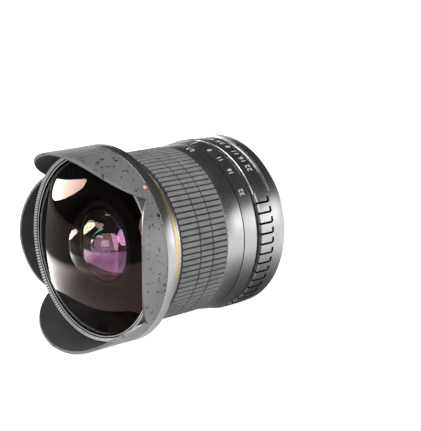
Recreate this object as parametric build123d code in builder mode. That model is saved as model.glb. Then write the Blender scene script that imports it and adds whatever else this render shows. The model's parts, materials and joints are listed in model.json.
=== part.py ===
import math
import os

from build123d import *

# The fisheye lens lies level, as it hangs on a camera: the optical axis is the Y axis,
# the front looks along -Y and +Z is up. The origin is the centre of the mount's seat
# face. Stations are distances ahead of that face, so a station d lies at y = -d.
# Clock angles run from the top (+Z) towards +X.

# Whole turn and quarter turn in degrees
full_turn = 360
quarter_turn = 90

# Clearances that several pieces share
run_gap = 0.06
seat_gap = 0.3
glass_gap = 0.03
cement_gap = 0.02
clear_margin = 0.1
overrun = 1.0

# Bayonet mount
flange_rise = 1.6
flange_thickness = 2.4
boss_length = 5.6
boss_wall = 2.9
lug_height = 1.6
lug_setback = 3.3
lug_thickness = 1.5
lug_count = 3
lug_sweep = 52.0
lock_notch_angle = 95.0
lock_notch_radius = 1.6
lock_notch_depth = 1.3
mount_screw_count = 5
mount_screw_angle = 20.0
screw_head_radius = 1.5
screw_head_height = 0.9
screw_shank_radius = 0.8
screw_length = 4.2

# Rear light shield
shield_inset = 0.2
shield_thickness = 0.8

# Fixed barrel with its index band
rear_lip_step = 1.7
tube_step = 3.4
rear_tube_wall = 2.0
front_tube_wall = 2.4
rear_lip_length = 4.0
band_length = 5.9
band_front_rise = 4.0
band_edge_rise = 0.8
band_edge_rounding = 0.45
band_back_drop = 3.0
band_back_length = 1.4
recess_length = 2.0
recess_step = 0.7
groove_gap = 0.35

# Aperture ring
ring_rear_gap = 4.4
ring_length = 12.8
ring_wall = 5.44
ring_rib_rise = 0.3
ring_rib_length = 6.6
ring_groove_count = 54
ring_groove_width = 0.85
ring_groove_depth = 0.8
ring_plain_start = -24.0
ring_plain_end = 60.5
ring_number_depth = 0.8
ring_number_length = 8.4
ring_stop_pitch = 7.6
ring_stop_count = 5
ring_open_turn = 2.5
ring_close_turn = 38.0
ring_edge_chamfer = 0.35

# Click stop of the aperture ring
detent_ball_radius = 1.0
detent_depth = 0.2
detent_rest_gap = 0.02
detent_angle = 228.0
detent_station = 12.0
detent_spring_thickness = 0.4
detent_spring_width = 2.4
detent_spring_sweep = 24.0
detent_screw_offset = 15.0
detent_screw_radius = 0.5
detent_screw_head_radius = 0.9
detent_screw_head_height = 0.5

# Link from the aperture ring to the iris
link_angle = 180.0
link_width = 3.0
link_thickness = 1.2
link_clearance = 3.04
link_station = 8.2
link_tab_thickness = 1.4
link_skirt_gap = 2.08
link_pocket_depth = 1.1
swing_margin = 1.5

# Focus ring
scale_band_length = 7.85
scale_band_drop = 0.55
sleeve_wall = 1.94
grip_thickness = 1.6
grip_length = 22.8
grip_rib_count = 92
grip_groove_width = 0.62
grip_groove_depth = 0.7
grip_row_groove_width = 0.7
grip_row_starts_share = [0.336, 0.611]
sleeve_setback = 0.3
focus_turn = 135.0

# Helicoid and its drive key
helicoid_wall = 1.9
helicoid_rear_gap = 1.0
helicoid_length = 17.0
drive_key_width = 4.0
drive_key_length = 3.0
drive_key_angle = 60.0
drive_key_station_share = 0.72
drive_key_bite = 1.1

# Guide keys of the focusing group
guide_key_width = 3.0
guide_key_length = 13.6
guide_key_angle = 90.0
guide_key_count = 2

# Carrier and glass of the focusing group
skirt_wall = 1.7
skirt_rear_gap = 7.6
skirt_slot_length = 8.5
web_thickness = 2.0
web_setback = 1.4
cell_bore = 11.0
cell_wall = 1.6
cell_lip_length = 0.8
cell_iris_gap = 2.9
cell_clear_step = 1.5
cell_rear_recess = 1.2

fifth_edge = 1.8
fifth_front_curve_share = 6.3
fifth_rear_curve_share = 2.7
sixth_edge = 1.3
sixth_front_curve_share = 3.2
doublet_curve_share = 1.9
seventh_edge = 4.4
seventh_rear_curve_share = 5.0
eighth_edge = 6.2
eighth_front_curve_share = -3.2
rear_doublet_curve_share = 1.5
ninth_edge = 1.4
ninth_rear_curve_share = 2.9
tenth_edge = 2.2
tenth_front_curve_share = 4.0
tenth_rear_curve_share = 9.0
front_spacer_length = 4.6
middle_spacer_length = 4.4
rear_spacer_length = 5.4
rear_ring_length = 2.4

# Front barrel
collar_gap = 0.4
collar_wall = 2.95
collar_length = 1.3
gold_width = 1.5
gold_depth = 0.6
gold_proud = 0.12
flare_start_rise = 0.35
flare_mid_radius_share = 0.4
flare_mid_length_share = 0.58
flare_length = 8.3
flange_lip_length = 3.8
flange_lip_rise = 0.2
socket_length = 3.6
barrel_web_thickness = 2.0
nose_length = 3.6
nose_wall = 2.11

# Hood
hood_rear_gap = 0.3
hood_rear_rise = 0.1
hood_wall = 1.2
hood_valley = 2.7
side_petal_height = 8.3
main_petal_height = 17.2
main_petal_width_share = [0.0, 0.30, 0.52, 0.70, 0.80]
main_petal_height_share = [1.0, 0.945, 0.79, 0.43, 0.0]
side_petal_width_share = [0.0, 0.30, 0.50, 0.602]
side_petal_height_share = [1.0, 0.83, 0.45, 0.0]
hood_lug_count = 3
hood_lug_sweep = 26.0
hood_lug_height = 1.1
hood_lug_length = 1.4
hood_lug_setback = 0.6
hood_lug_angle = 0.0
hood_turn = 40.0
hood_lug_play = 0.2

# Front glass and its cell
front_glass_step = 2.3
front_glass_clear_step = 0.3
front_glass_edge = 4.9
front_dome_curve_share = 1.68
front_bowl_radius_share = 0.545
front_bowl_curve_share = -1.135
front_ring_inset = 0.34
front_ring_height = 2.1
front_ring_lip = 0.6
front_ring_lip_width = 0.4
front_ring_groove_width = 0.4
front_ring_groove_depth = 0.4
cell_flange_step = 4.9
cell_flange_length = 4.9
front_cell_mouth_step = 4.0
second_ring_step = 2.4
second_ring_length = 1.5
second_glass_radius = 17.6
second_glass_edge = 4.5
second_glass_clear_step = 1.0
second_bowl_radius_share = 0.723
second_dome_curve_share = 2.42
second_bowl_curve_share = -1.25
second_glass_depth = 2.0
second_shoulder_length = 2.0
inner_lip_length = 1.0
third_glass_radius = 11.5
third_glass_clear_step = 1.3
third_glass_edge = 6.1
third_front_curve_share = -3.9
front_doublet_curve_share = 1.57
fourth_glass_edge = 1.5
fourth_rear_curve_share = 2.45
doublet_ring_length = 1.5
front_cell_tail_step = 0.8
front_cell_tail = 2.5

# Iris
iris_open_radius = 6.0
iris_closed_radius = 1.0
blade_count = 6
blade_band = 5.6
blade_thickness = 0.15
blade_layer_height = 0.2
blade_sweep = 118.0
blade_pivot_step = 0.9
blade_pivot_boss = 1.3
blade_arm = 2.5
blade_ear = 0.9
blade_pin_radius = 0.45
pin_gap = 0.08
plate_thickness = 1.0
plate_rim = 3.24
plate_pin_depth = 0.6
cam_ring_outer_step = 0.4
cam_ring_inner_step = 1.3
cam_ring_thickness = 0.8
housing_wall = 1.5
housing_tail = 0.3
snap_ring_thickness = 0.5
snap_ring_bite = 0.5
snap_ring_width = 1.0
iris_screw_count = 3
iris_screw_angle = 10.0
iris_screw_head_radius = 1.2
iris_screw_head_height = 0.7
iris_screw_shank_radius = 0.6
iris_screw_length = 2.6
fork_wall = 1.1
lever_width = 2.4
lever_thickness = 1.1
lever_overhang = 3.2
lever_hook_gap = 1.96
lever_hook_thickness = 1.1

# Stations of the outer pieces, from the seat face forwards
ring_rear = ring_rear_gap
ring_front = ring_rear + ring_length
band_rear = ring_front + recess_length
band_front = band_rear + band_length
sleeve_rear = band_front + groove_gap
grip_rear = sleeve_rear + scale_band_length
grip_front = grip_rear + grip_length
sleeve_front = grip_front - sleeve_setback
collar_rear = grip_front + collar_gap
gold_rear = collar_rear + collar_length
gold_front = gold_rear + gold_width
flare_front = gold_front + flare_length
flange_lip_rear = flare_front - flange_lip_length
hood_rear = flare_front + hood_rear_gap
nose_front = flare_front + nose_length
barrel_shoulder = collar_rear + socket_length
cell_seat = barrel_shoulder + barrel_web_thickness

# Stations of the front glass
front_shelf = cell_seat + cell_flange_length
front_glass_front = front_shelf + front_glass_edge
second_glass_front = front_shelf - second_glass_depth
second_glass_rear = second_glass_front - second_glass_edge
inner_lip_front = second_glass_rear - second_shoulder_length
third_glass_front = inner_lip_front - inner_lip_length
third_glass_rear = third_glass_front - third_glass_edge
fourth_glass_front = third_glass_rear - cement_gap
fourth_glass_rear = fourth_glass_front - fourth_glass_edge
doublet_ring_rear = fourth_glass_rear - doublet_ring_length
front_cell_rear = doublet_ring_rear - front_cell_tail

# Stations of the iris, behind the front cell
plate_front = front_cell_rear
plate_rear = plate_front - plate_thickness
blade_stack = blade_count * blade_layer_height
cam_ring_front = plate_rear - blade_stack - pin_gap
cam_ring_rear = cam_ring_front - cam_ring_thickness
snap_ring_front = cam_ring_rear - pin_gap
snap_ring_rear = snap_ring_front - snap_ring_thickness
housing_rear = snap_ring_rear - housing_tail

# Stations of the focusing group, behind the iris
cell_front = housing_rear - cell_iris_gap
glass_seat = cell_front - cell_lip_length
web_front = cell_front - web_setback
web_rear = web_front - web_thickness
lip_front = flange_thickness + rear_lip_length
skirt_rear = lip_front + skirt_rear_gap
helicoid_rear = band_front - helicoid_rear_gap
helicoid_front = helicoid_rear + helicoid_length
drive_key_station = helicoid_rear + helicoid_length * drive_key_station_share

# Radii of the iris, from its opening outwards
blade_outer_radius = iris_open_radius + blade_band
blade_pivot_circle = blade_outer_radius + blade_pivot_step
cam_ring_radius = blade_pivot_circle + blade_arm + cam_ring_outer_step
cam_ring_bore = blade_pivot_circle - cam_ring_inner_step
housing_bore = cam_ring_radius + run_gap
housing_radius = housing_bore + housing_wall
plate_radius = housing_radius + plate_rim
iris_screw_circle = (housing_radius + plate_radius) / 2
link_radius = housing_radius + link_clearance
front_cell_tail_radius = plate_radius + front_cell_tail_step

# Radii of the focusing group and the helicoid, outside the link
skirt_bore = link_radius + link_thickness + link_skirt_gap
skirt_radius = skirt_bore + skirt_wall
helicoid_bore = skirt_radius + run_gap
helicoid_radius = helicoid_bore + helicoid_wall
cell_radius = cell_bore + cell_wall
cell_clear_radius = cell_bore - cell_clear_step
rear_glass_radius = cell_bore - glass_gap
lever_radius = cell_radius + 2 * lever_thickness / 5

# Radii of the barrel round the helicoid, and of the mount behind it
tube_bore = helicoid_radius + run_gap
rear_lip_bore = tube_bore - tube_step
boss_radius = rear_lip_bore - rear_lip_step
throat_radius = boss_radius - boss_wall
hook_radius = throat_radius - lever_hook_gap
lug_radius = boss_radius + lug_height
shield_radius = rear_lip_bore - shield_inset
rear_tube_radius = tube_bore + rear_tube_wall
front_tube_radius = tube_bore + front_tube_wall
flange_radius = rear_tube_radius + flange_rise
mount_screw_circle = rear_lip_bore + 2 * screw_shank_radius
recess_radius = rear_tube_radius + recess_step
band_front_radius = front_tube_radius + band_front_rise
band_edge_radius = band_front_radius + band_edge_rise
band_back_radius = band_edge_radius - band_back_drop

# Radii of the two rings that turn on the barrel
ring_bore = rear_tube_radius + run_gap
ring_rear_radius = ring_bore + ring_wall
ring_rib_radius = ring_rear_radius + ring_rib_rise
sleeve_bore = front_tube_radius + run_gap
sleeve_radius = sleeve_bore + sleeve_wall
grip_radius = sleeve_radius + grip_thickness
scale_band_front_radius = grip_radius - scale_band_drop

# Radii of the front, from the barrel outwards to the hood
front_cell_radius = tube_bore - clear_margin
cell_flange_radius = tube_bore + cell_flange_step
front_glass_radius = cell_flange_radius + front_glass_step
front_glass_clear = front_glass_radius - front_glass_clear_step
front_bowl_radius = front_glass_clear * front_bowl_radius_share
nose_radius = front_glass_radius + glass_gap + nose_wall
front_ring_radius = nose_radius - front_ring_inset
hood_bore = nose_radius + run_gap
hood_radius = hood_bore + hood_wall
hood_rear_radius = hood_radius + hood_rear_rise
collar_radius = front_tube_radius + collar_wall
flare_start_radius = collar_radius + flare_start_rise
flange_lip_radius = hood_radius + flange_lip_rise
flare_rise = flange_lip_radius - flare_start_radius
flare_mid_radius = flare_start_radius + flare_rise * flare_mid_radius_share
flare_mid_length = (flare_length - flange_lip_length) * flare_mid_length_share
second_ring_radius = second_glass_radius + second_ring_step
second_glass_clear = second_glass_radius - second_glass_clear_step
second_bowl_radius = second_glass_clear * second_bowl_radius_share
front_cell_mouth = second_ring_radius + front_cell_mouth_step
third_glass_clear = third_glass_radius - third_glass_clear_step

# Motion of the iris: the blades close as the aperture ring turns from end to end
ring_swing = ring_open_turn + ring_close_turn
blade_shift = iris_open_radius - iris_closed_radius
blade_swing = 2 * math.degrees(math.asin(blade_shift / (2 * blade_pivot_circle)))
blade_ratio = blade_swing / ring_swing
blade_rest = ring_open_turn * blade_ratio


def pin_place(swing):
    """Polar angle and radius of a blade's drive pin, for a pivot at angle zero."""
    turn = math.radians(swing)
    across = blade_pivot_circle + blade_arm * math.sin(turn)
    along = -blade_arm * math.cos(turn)
    return math.degrees(math.atan2(along, across)), math.hypot(across, along)


def cam_place(swing):
    """Polar angle and radius of the same pin on the cam ring, as the ring stands at rest."""
    angle, radius = pin_place(swing)
    return angle - swing / blade_ratio + ring_open_turn, radius


# The lever stands between two cam slots
slot_first_angle = cam_place(0)[0]
slot_last_angle = cam_place(blade_swing)[0]
blade_step = full_turn / blade_count
lever_clock = quarter_turn + blade_step - (slot_first_angle + slot_last_angle + blade_step) / 2


def front_plane(station):
    """Plane square to the axis at a station, seen from the front, with its normal forwards."""
    return Plane(origin=(0, -station, 0), x_dir=(1, 0, 0), z_dir=(0, -1, 0))


def radial_plane(clock, station, radius):
    """Plane facing outwards at a clock angle, with its x direction along the axis."""
    turn = math.radians(clock)
    out = (math.sin(turn), 0, math.cos(turn))
    centre = (radius * out[0], -station, radius * out[2])
    return Plane(origin=centre, x_dir=(0, -1, 0), z_dir=out)


def turned_outline(points):
    """Closed outline of (radius, station) points, ready to be turned about the axis."""
    with BuildSketch(Plane.XY) as outline:
        with BuildLine():
            Polyline(*[(radius, -station) for radius, station in points], close=True)
        make_face()
    return outline.sketch


def sector(inner, outer, start, sweep):
    """Ring sector between two radii, from a clock angle on through sweep degrees."""
    with BuildSketch() as outline:
        with BuildLine():
            outer_arc = CenterArc((0, 0), outer, quarter_turn - start, -sweep)
            inner_arc = CenterArc((0, 0), inner, quarter_turn - start, -sweep)
            Line(outer_arc @ 0, inner_arc @ 0)
            Line(outer_arc @ 1, inner_arc @ 1)
        make_face()
    return outline.sketch


def width_angle(width, radius):
    """Angle that a width takes up at a radius, in degrees."""
    return math.degrees(2 * math.asin(width / (2 * radius)))


def ring_sweep(clock, width, radius):
    """Start and sweep of the slot in which a finger moves with the aperture ring."""
    half = width_angle(width, radius) / 2 + swing_margin
    start = clock - ring_close_turn - half
    return start, ring_swing + 2 * half


def sag(curve_share, clear, radius):
    """Height of a spherical face above a disc of a radius; a hollow face has a negative share."""
    curve = abs(curve_share) * clear
    depth = curve - math.sqrt(curve**2 - radius**2)
    return math.copysign(depth, curve_share)


def glass_outline(radius, front, rear, front_face, rear_face):
    """Outline of a lens element; each face is its clear radius and its curve as a share of it."""
    front_clear, front_share = front_face
    rear_clear, rear_share = rear_face
    front_rise = sag(front_share, front_clear, front_clear)
    rear_rise = sag(rear_share, rear_clear, rear_clear)
    front_mid = front + front_rise - sag(front_share, front_clear, front_clear / 2)
    rear_mid = rear - rear_rise + sag(rear_share, rear_clear, rear_clear / 2)
    with BuildSketch(Plane.XY) as outline:
        with BuildLine():
            front_pole = (0, -front - front_rise)
            rear_pole = (0, -rear + rear_rise)
            ThreePointArc(front_pole, (front_clear / 2, -front_mid), (front_clear, -front))
            Polyline((front_clear, -front), (radius, -front), (radius, -rear), (rear_clear, -rear))
            ThreePointArc((rear_clear, -rear), (rear_clear / 2, -rear_mid), rear_pole)
            Line(rear_pole, front_pole)
        make_face()
    return outline.sketch


def keep(piece, name):
    """Label a finished piece and write it to its own file."""
    piece.part.label = name
    export_step(piece.part, f"parts/{name}.step")


os.makedirs("parts", exist_ok=True)

# Bayonet mount: seat plate, boss with three lugs, lock notch and countersunk screw holes
with BuildPart() as bayonet_mount:
    plate_and_boss = [
        (throat_radius, -boss_length),
        (boss_radius, -boss_length),
        (boss_radius, 0),
        (flange_radius, 0),
        (flange_radius, flange_thickness),
        (throat_radius, flange_thickness),
    ]
    revolve(turned_outline(plate_and_boss), axis=Axis.Y)
    with BuildSketch(front_plane(-lug_setback - lug_thickness)):
        with PolarLocations(0, lug_count):
            add(sector((throat_radius + boss_radius) / 2, lug_radius, -lug_sweep / 2, lug_sweep))
    extrude(amount=lug_thickness)
    with BuildSketch(front_plane(0)):
        with PolarLocations(mount_screw_circle, mount_screw_count, mount_screw_angle):
            Circle(screw_head_radius)
    extrude(amount=screw_head_height, mode=Mode.SUBTRACT)
    with BuildSketch(front_plane(0)):
        with PolarLocations(mount_screw_circle, mount_screw_count, mount_screw_angle):
            Circle(screw_shank_radius)
    extrude(amount=flange_thickness, mode=Mode.SUBTRACT)
    notch_circle = (mount_screw_circle + flange_radius) / 2
    with BuildSketch(front_plane(0)):
        with PolarLocations(notch_circle, 1, quarter_turn - lock_notch_angle):
            Circle(lock_notch_radius)
    extrude(amount=lock_notch_depth, mode=Mode.SUBTRACT)
keep(bayonet_mount, "bayonet_mount")

# Mount screws, flush with the seat face
with BuildPart() as mount_screws:
    with BuildSketch(front_plane(0)):
        with PolarLocations(mount_screw_circle, mount_screw_count, mount_screw_angle):
            Circle(screw_head_radius)
    extrude(amount=screw_head_height)
    with BuildSketch(front_plane(screw_head_height)):
        with PolarLocations(mount_screw_circle, mount_screw_count, mount_screw_angle):
            Circle(screw_shank_radius)
    extrude(amount=screw_length)
keep(mount_screws, "mount_screws")

# Rear light shield, with a slot in which the stop-down lever swings
with BuildPart() as rear_light_shield:
    with BuildSketch(front_plane(flange_thickness)):
        Circle(shield_radius)
        Circle(cell_radius + seat_gap, mode=Mode.SUBTRACT)
        start, sweep = ring_sweep(lever_clock, lever_width, lever_radius)
        slot = sector(cell_bore, lever_radius + lever_thickness + seat_gap, start, sweep)
        add(slot, mode=Mode.SUBTRACT)
    extrude(amount=shield_thickness)
keep(rear_light_shield, "rear_light_shield")

# Fixed barrel: rear lip, seat of the aperture ring, flared index band and long front tube
with BuildPart() as fixed_barrel:
    back_of_band = band_rear - band_back_length
    with BuildSketch(Plane.XY) as barrel_outline:
        barrel_points = [
            (rear_lip_bore, flange_thickness),
            (rear_tube_radius, flange_thickness),
            (rear_tube_radius, ring_front + seat_gap),
            (recess_radius, ring_front + seat_gap),
            (recess_radius, back_of_band),
            (band_back_radius, back_of_band),
            (band_edge_radius, band_rear),
            (band_front_radius, band_front),
            (front_tube_radius, band_front),
            (front_tube_radius, barrel_shoulder),
            (tube_bore, barrel_shoulder),
            (tube_bore, lip_front),
            (rear_lip_bore, lip_front),
        ]
        add(turned_outline(barrel_points))
        fillet(barrel_outline.vertices().sort_by(Axis.X)[-1], band_edge_rounding)
    revolve(axis=Axis.Y)
    with BuildSketch(front_plane(flange_thickness)):
        with PolarLocations(mount_screw_circle, mount_screw_count, mount_screw_angle):
            Circle(screw_shank_radius)
    extrude(amount=screw_head_height + screw_length - flange_thickness, mode=Mode.SUBTRACT)
    with BuildSketch(front_plane(link_station - seat_gap)):
        start, sweep = ring_sweep(link_angle, link_width, tube_bore)
        add(sector(tube_bore - overrun, rear_tube_radius + overrun, start, sweep))
    extrude(amount=link_tab_thickness + 2 * seat_gap, mode=Mode.SUBTRACT)
    with BuildSketch(front_plane(drive_key_station - seat_gap)):
        half_key = width_angle(drive_key_width, tube_bore) / 2 + swing_margin
        start = drive_key_angle - focus_turn - half_key
        add(sector(tube_bore - overrun, front_tube_radius + overrun, start, focus_turn + 2 * half_key))
    extrude(amount=drive_key_length + 2 * seat_gap, mode=Mode.SUBTRACT)
    with BuildSketch(radial_plane(detent_angle, detent_station, tube_bore - overrun)):
        Circle(detent_ball_radius + run_gap)
    extrude(amount=rear_tube_radius - tube_bore + 2 * overrun, mode=Mode.SUBTRACT)
    screw_clock = detent_angle - detent_screw_offset
    with BuildSketch(radial_plane(screw_clock, detent_station, tube_bore - overrun)):
        Circle(detent_screw_radius)
    extrude(amount=overrun + (rear_tube_radius - tube_bore) / 2, mode=Mode.SUBTRACT)
keep(fixed_barrel, "fixed_barrel")

# Guide keys that hold the focusing group from turning
guide_key_sweep = width_angle(guide_key_width, tube_bore)
with BuildPart() as guide_keys:
    with BuildSketch(front_plane(lip_front)):
        with PolarLocations(0, guide_key_count):
            key_start = guide_key_angle - guide_key_sweep / 2
            add(sector(skirt_bore, tube_bore, key_start, guide_key_sweep))
    extrude(amount=guide_key_length)
keep(guide_keys, "guide_keys")

# Click stop: ball, leaf spring and its screw. The ball is shown pressed in, and springs out
ball_centre_radius = ring_bore - detent_rest_gap - detent_ball_radius
with BuildPart() as detent_ball:
    with Locations(radial_plane(detent_angle, detent_station, ball_centre_radius)):
        Sphere(detent_ball_radius)
keep(detent_ball, "detent_ball")

with BuildPart() as detent_spring:
    with BuildSketch(front_plane(detent_station - detent_spring_width / 2)):
        spring_start = detent_angle - detent_spring_sweep + detent_spring_width
        add(sector(tube_bore - detent_spring_thickness, tube_bore, spring_start, detent_spring_sweep))
    extrude(amount=detent_spring_width)
    with BuildSketch(radial_plane(screw_clock, detent_station, tube_bore - overrun)):
        Circle(detent_screw_radius)
    extrude(amount=2 * overrun, mode=Mode.SUBTRACT)
keep(detent_spring, "detent_spring")

with BuildPart() as detent_screw:
    head_radius = tube_bore - detent_spring_thickness - detent_screw_head_height
    with BuildSketch(radial_plane(screw_clock, detent_station, head_radius)):
        Circle(detent_screw_head_radius)
    extrude(amount=detent_screw_head_height - run_gap)
    with BuildSketch(radial_plane(screw_clock, detent_station, head_radius)):
        Circle(detent_screw_radius)
    shank_length = tube_bore - head_radius + (rear_tube_radius - tube_bore) / 2
    extrude(amount=shank_length)
keep(detent_screw, "detent_screw")

# Aperture ring: smooth rear band, recessed number zone, ribs parted by narrow grooves
groove_pitch = full_turn / ring_groove_count
groove_span = full_turn - (ring_plain_end - ring_plain_start)
groove_total = round(groove_span / groove_pitch) - 1
with BuildPart() as aperture_ring:
    rib_rear = ring_front - ring_rib_length
    ring_points = [
        (ring_bore, ring_rear),
        (ring_rear_radius - ring_edge_chamfer, ring_rear),
        (ring_rear_radius, ring_rear + ring_edge_chamfer),
        (ring_rear_radius, rib_rear - ring_edge_chamfer),
        (ring_rib_radius, rib_rear),
        (ring_rib_radius, ring_front - ring_edge_chamfer),
        (ring_rib_radius - ring_edge_chamfer, ring_front),
        (ring_bore, ring_front),
    ]
    revolve(turned_outline(ring_points), axis=Axis.Y)
    with BuildSketch(front_plane(ring_front - ring_number_length)):
        zone_sweep = ring_plain_end - ring_plain_start
        zone_floor = ring_rib_radius - ring_number_depth
        add(sector(zone_floor, ring_rib_radius + overrun, ring_plain_start, zone_sweep))
    extrude(amount=ring_number_length + overrun, mode=Mode.SUBTRACT)
    with BuildSketch(front_plane(rib_rear)):
        last_groove = ring_plain_end + groove_total * groove_pitch
        groove_reach = (groove_total - 1) * groove_pitch
        with PolarLocations(ring_rib_radius, groove_total, quarter_turn - last_groove, groove_reach, endpoint=True):
            Rectangle(2 * ring_groove_depth, ring_groove_width)
    extrude(amount=ring_rib_length + overrun, mode=Mode.SUBTRACT)
    with BuildSketch(front_plane(detent_station - detent_ball_radius - run_gap)):
        stops = [-ring_open_turn, 0] + [(step + 1) * ring_stop_pitch for step in range(ring_stop_count)]
        for stop in stops:
            with PolarLocations(ball_centre_radius + detent_depth, 1, quarter_turn - detent_angle - stop):
                Circle(detent_ball_radius + run_gap)
    extrude(amount=2 * (detent_ball_radius + run_gap), mode=Mode.SUBTRACT)
    with BuildSketch(front_plane(link_station)):
        tab_sweep = width_angle(link_width, link_radius)
        add(sector(tube_bore, ring_bore + link_pocket_depth, link_angle - tab_sweep / 2, tab_sweep))
    extrude(amount=link_tab_thickness, mode=Mode.SUBTRACT)
keep(aperture_ring, "aperture_ring")

# Link that carries the ring's turn forwards, inside the barrel, to the iris
with BuildPart() as aperture_link:
    with BuildSketch(front_plane(link_station)):
        add(sector(link_radius, ring_bore + link_pocket_depth, link_angle - tab_sweep / 2, tab_sweep))
    extrude(amount=link_tab_thickness)
    with BuildSketch(front_plane(link_station)):
        add(sector(link_radius, link_radius + link_thickness, link_angle - tab_sweep / 2, tab_sweep))
    extrude(amount=cam_ring_front + seat_gap - link_station)
keep(aperture_link, "aperture_link")

# Focus sleeve with its distance scale band
key_sweep = width_angle(drive_key_width, sleeve_radius)
key_start = drive_key_angle - key_sweep / 2
with BuildPart() as focus_sleeve:
    sleeve_points = [
        (sleeve_bore, sleeve_rear),
        (band_front_radius - run_gap, sleeve_rear),
        (scale_band_front_radius, grip_rear),
        (sleeve_radius, grip_rear),
        (sleeve_radius, sleeve_front),
        (sleeve_bore, sleeve_front),
    ]
    revolve(turned_outline(sleeve_points), axis=Axis.Y)
    with BuildSketch(front_plane(drive_key_station)):
        add(sector(tube_bore, sleeve_radius + overrun, key_start, key_sweep))
    extrude(amount=drive_key_length, mode=Mode.SUBTRACT)
keep(focus_sleeve, "focus_sleeve")

# Rubber grip: three rows of flat ribs
with BuildPart() as rubber_grip:
    with BuildSketch(front_plane(grip_rear)):
        Circle(grip_radius)
        with PolarLocations(grip_radius, grip_rib_count):
            Rectangle(2 * grip_groove_depth, grip_groove_width, mode=Mode.SUBTRACT)
        Circle(sleeve_radius, mode=Mode.SUBTRACT)
    extrude(amount=grip_length)
    for row_start in grip_row_starts_share:
        row_station = grip_rear + row_start * grip_length
        row_groove = [
            (grip_radius - grip_groove_depth, row_station - grip_row_groove_width / 2),
            (grip_radius + overrun, row_station - grip_row_groove_width / 2),
            (grip_radius + overrun, row_station + grip_row_groove_width / 2),
            (grip_radius - grip_groove_depth, row_station + grip_row_groove_width / 2),
        ]
        revolve(turned_outline(row_groove), axis=Axis.Y, mode=Mode.SUBTRACT)
keep(rubber_grip, "rubber_grip")

# Helicoid ring, turned by the focus sleeve through the drive key
screw_station = drive_key_station + drive_key_length / 2
with BuildPart() as helicoid_ring:
    ring_face = [
        (helicoid_bore, helicoid_rear),
        (helicoid_radius, helicoid_rear),
        (helicoid_radius, helicoid_front),
        (helicoid_bore, helicoid_front),
    ]
    revolve(turned_outline(ring_face), axis=Axis.Y)
    with BuildSketch(front_plane(drive_key_station)):
        add(sector(helicoid_radius - drive_key_bite, helicoid_radius + overrun, key_start, key_sweep))
    extrude(amount=drive_key_length, mode=Mode.SUBTRACT)
    with BuildSketch(radial_plane(drive_key_angle, screw_station, helicoid_bore)):
        Circle(screw_shank_radius)
    extrude(amount=helicoid_wall, mode=Mode.SUBTRACT)
keep(helicoid_ring, "helicoid_ring")

with BuildPart() as focus_drive_key:
    with BuildSketch(front_plane(drive_key_station)):
        add(sector(helicoid_radius - drive_key_bite, sleeve_radius, key_start, key_sweep))
    extrude(amount=drive_key_length)
    with BuildSketch(radial_plane(drive_key_angle, screw_station, helicoid_bore)):
        Circle(screw_shank_radius)
    extrude(amount=sleeve_radius - helicoid_bore, mode=Mode.SUBTRACT)
    with BuildSketch(radial_plane(drive_key_angle, screw_station, sleeve_radius - screw_head_height)):
        Circle(screw_head_radius - clear_margin)
    extrude(amount=screw_head_height + overrun, mode=Mode.SUBTRACT)
keep(focus_drive_key, "focus_drive_key")

with BuildPart() as drive_key_screw:
    with BuildSketch(radial_plane(drive_key_angle, screw_station, helicoid_bore)):
        Circle(screw_shank_radius)
    extrude(amount=sleeve_radius - screw_head_height - helicoid_bore)
    with BuildSketch(radial_plane(drive_key_angle, screw_station, sleeve_radius - screw_head_height)):
        Circle(screw_head_radius - clear_margin)
    extrude(amount=screw_head_height - run_gap)
keep(drive_key_screw, "drive_key_screw")

# Glass of the focusing group, stacked rearwards from the cell's front lip
fifth_rear = glass_seat - fifth_edge
sixth_front = fifth_rear - front_spacer_length
sixth_rear = sixth_front - sixth_edge
seventh_front = sixth_rear - cement_gap
seventh_rear = seventh_front - seventh_edge
eighth_front = seventh_rear - middle_spacer_length
eighth_rear = eighth_front - eighth_edge
ninth_front = eighth_rear - cement_gap
ninth_rear = ninth_front - ninth_edge
tenth_front = ninth_rear - rear_spacer_length
tenth_rear = tenth_front - tenth_edge
rear_ring_rear = tenth_rear - rear_ring_length
cell_rear = rear_ring_rear - cell_rear_recess
rear_stack = {
    "fifth_element": (glass_seat, fifth_rear, fifth_front_curve_share, fifth_rear_curve_share),
    "sixth_element": (sixth_front, sixth_rear, sixth_front_curve_share, doublet_curve_share),
    "seventh_element": (seventh_front, seventh_rear, -doublet_curve_share, seventh_rear_curve_share),
    "eighth_element": (eighth_front, eighth_rear, eighth_front_curve_share, -rear_doublet_curve_share),
    "ninth_element": (ninth_front, ninth_rear, rear_doublet_curve_share, ninth_rear_curve_share),
    "tenth_element": (tenth_front, tenth_rear, tenth_front_curve_share, tenth_rear_curve_share),
}
for glass_name, (front, rear, front_curve, rear_curve) in rear_stack.items():
    with BuildPart() as glass:
        front_side = (cell_clear_radius, front_curve)
        rear_side = (cell_clear_radius, rear_curve)
        revolve(glass_outline(rear_glass_radius, front, rear, front_side, rear_side), axis=Axis.Y)
    keep(glass, glass_name)

# Rings between and behind the elements of the focusing group
rear_rings = {
    "front_spacer": (fifth_rear, sixth_front),
    "middle_spacer": (seventh_rear, eighth_front),
    "rear_spacer": (ninth_rear, tenth_front),
    "rear_retaining_ring": (tenth_rear, rear_ring_rear),
}
for ring_name, (front, rear) in rear_rings.items():
    with BuildPart() as ring:
        with BuildSketch(front_plane(rear)):
            Circle(rear_glass_radius)
            Circle(cell_clear_radius + clear_margin, mode=Mode.SUBTRACT)
        extrude(amount=front - rear)
    keep(ring, ring_name)

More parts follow.
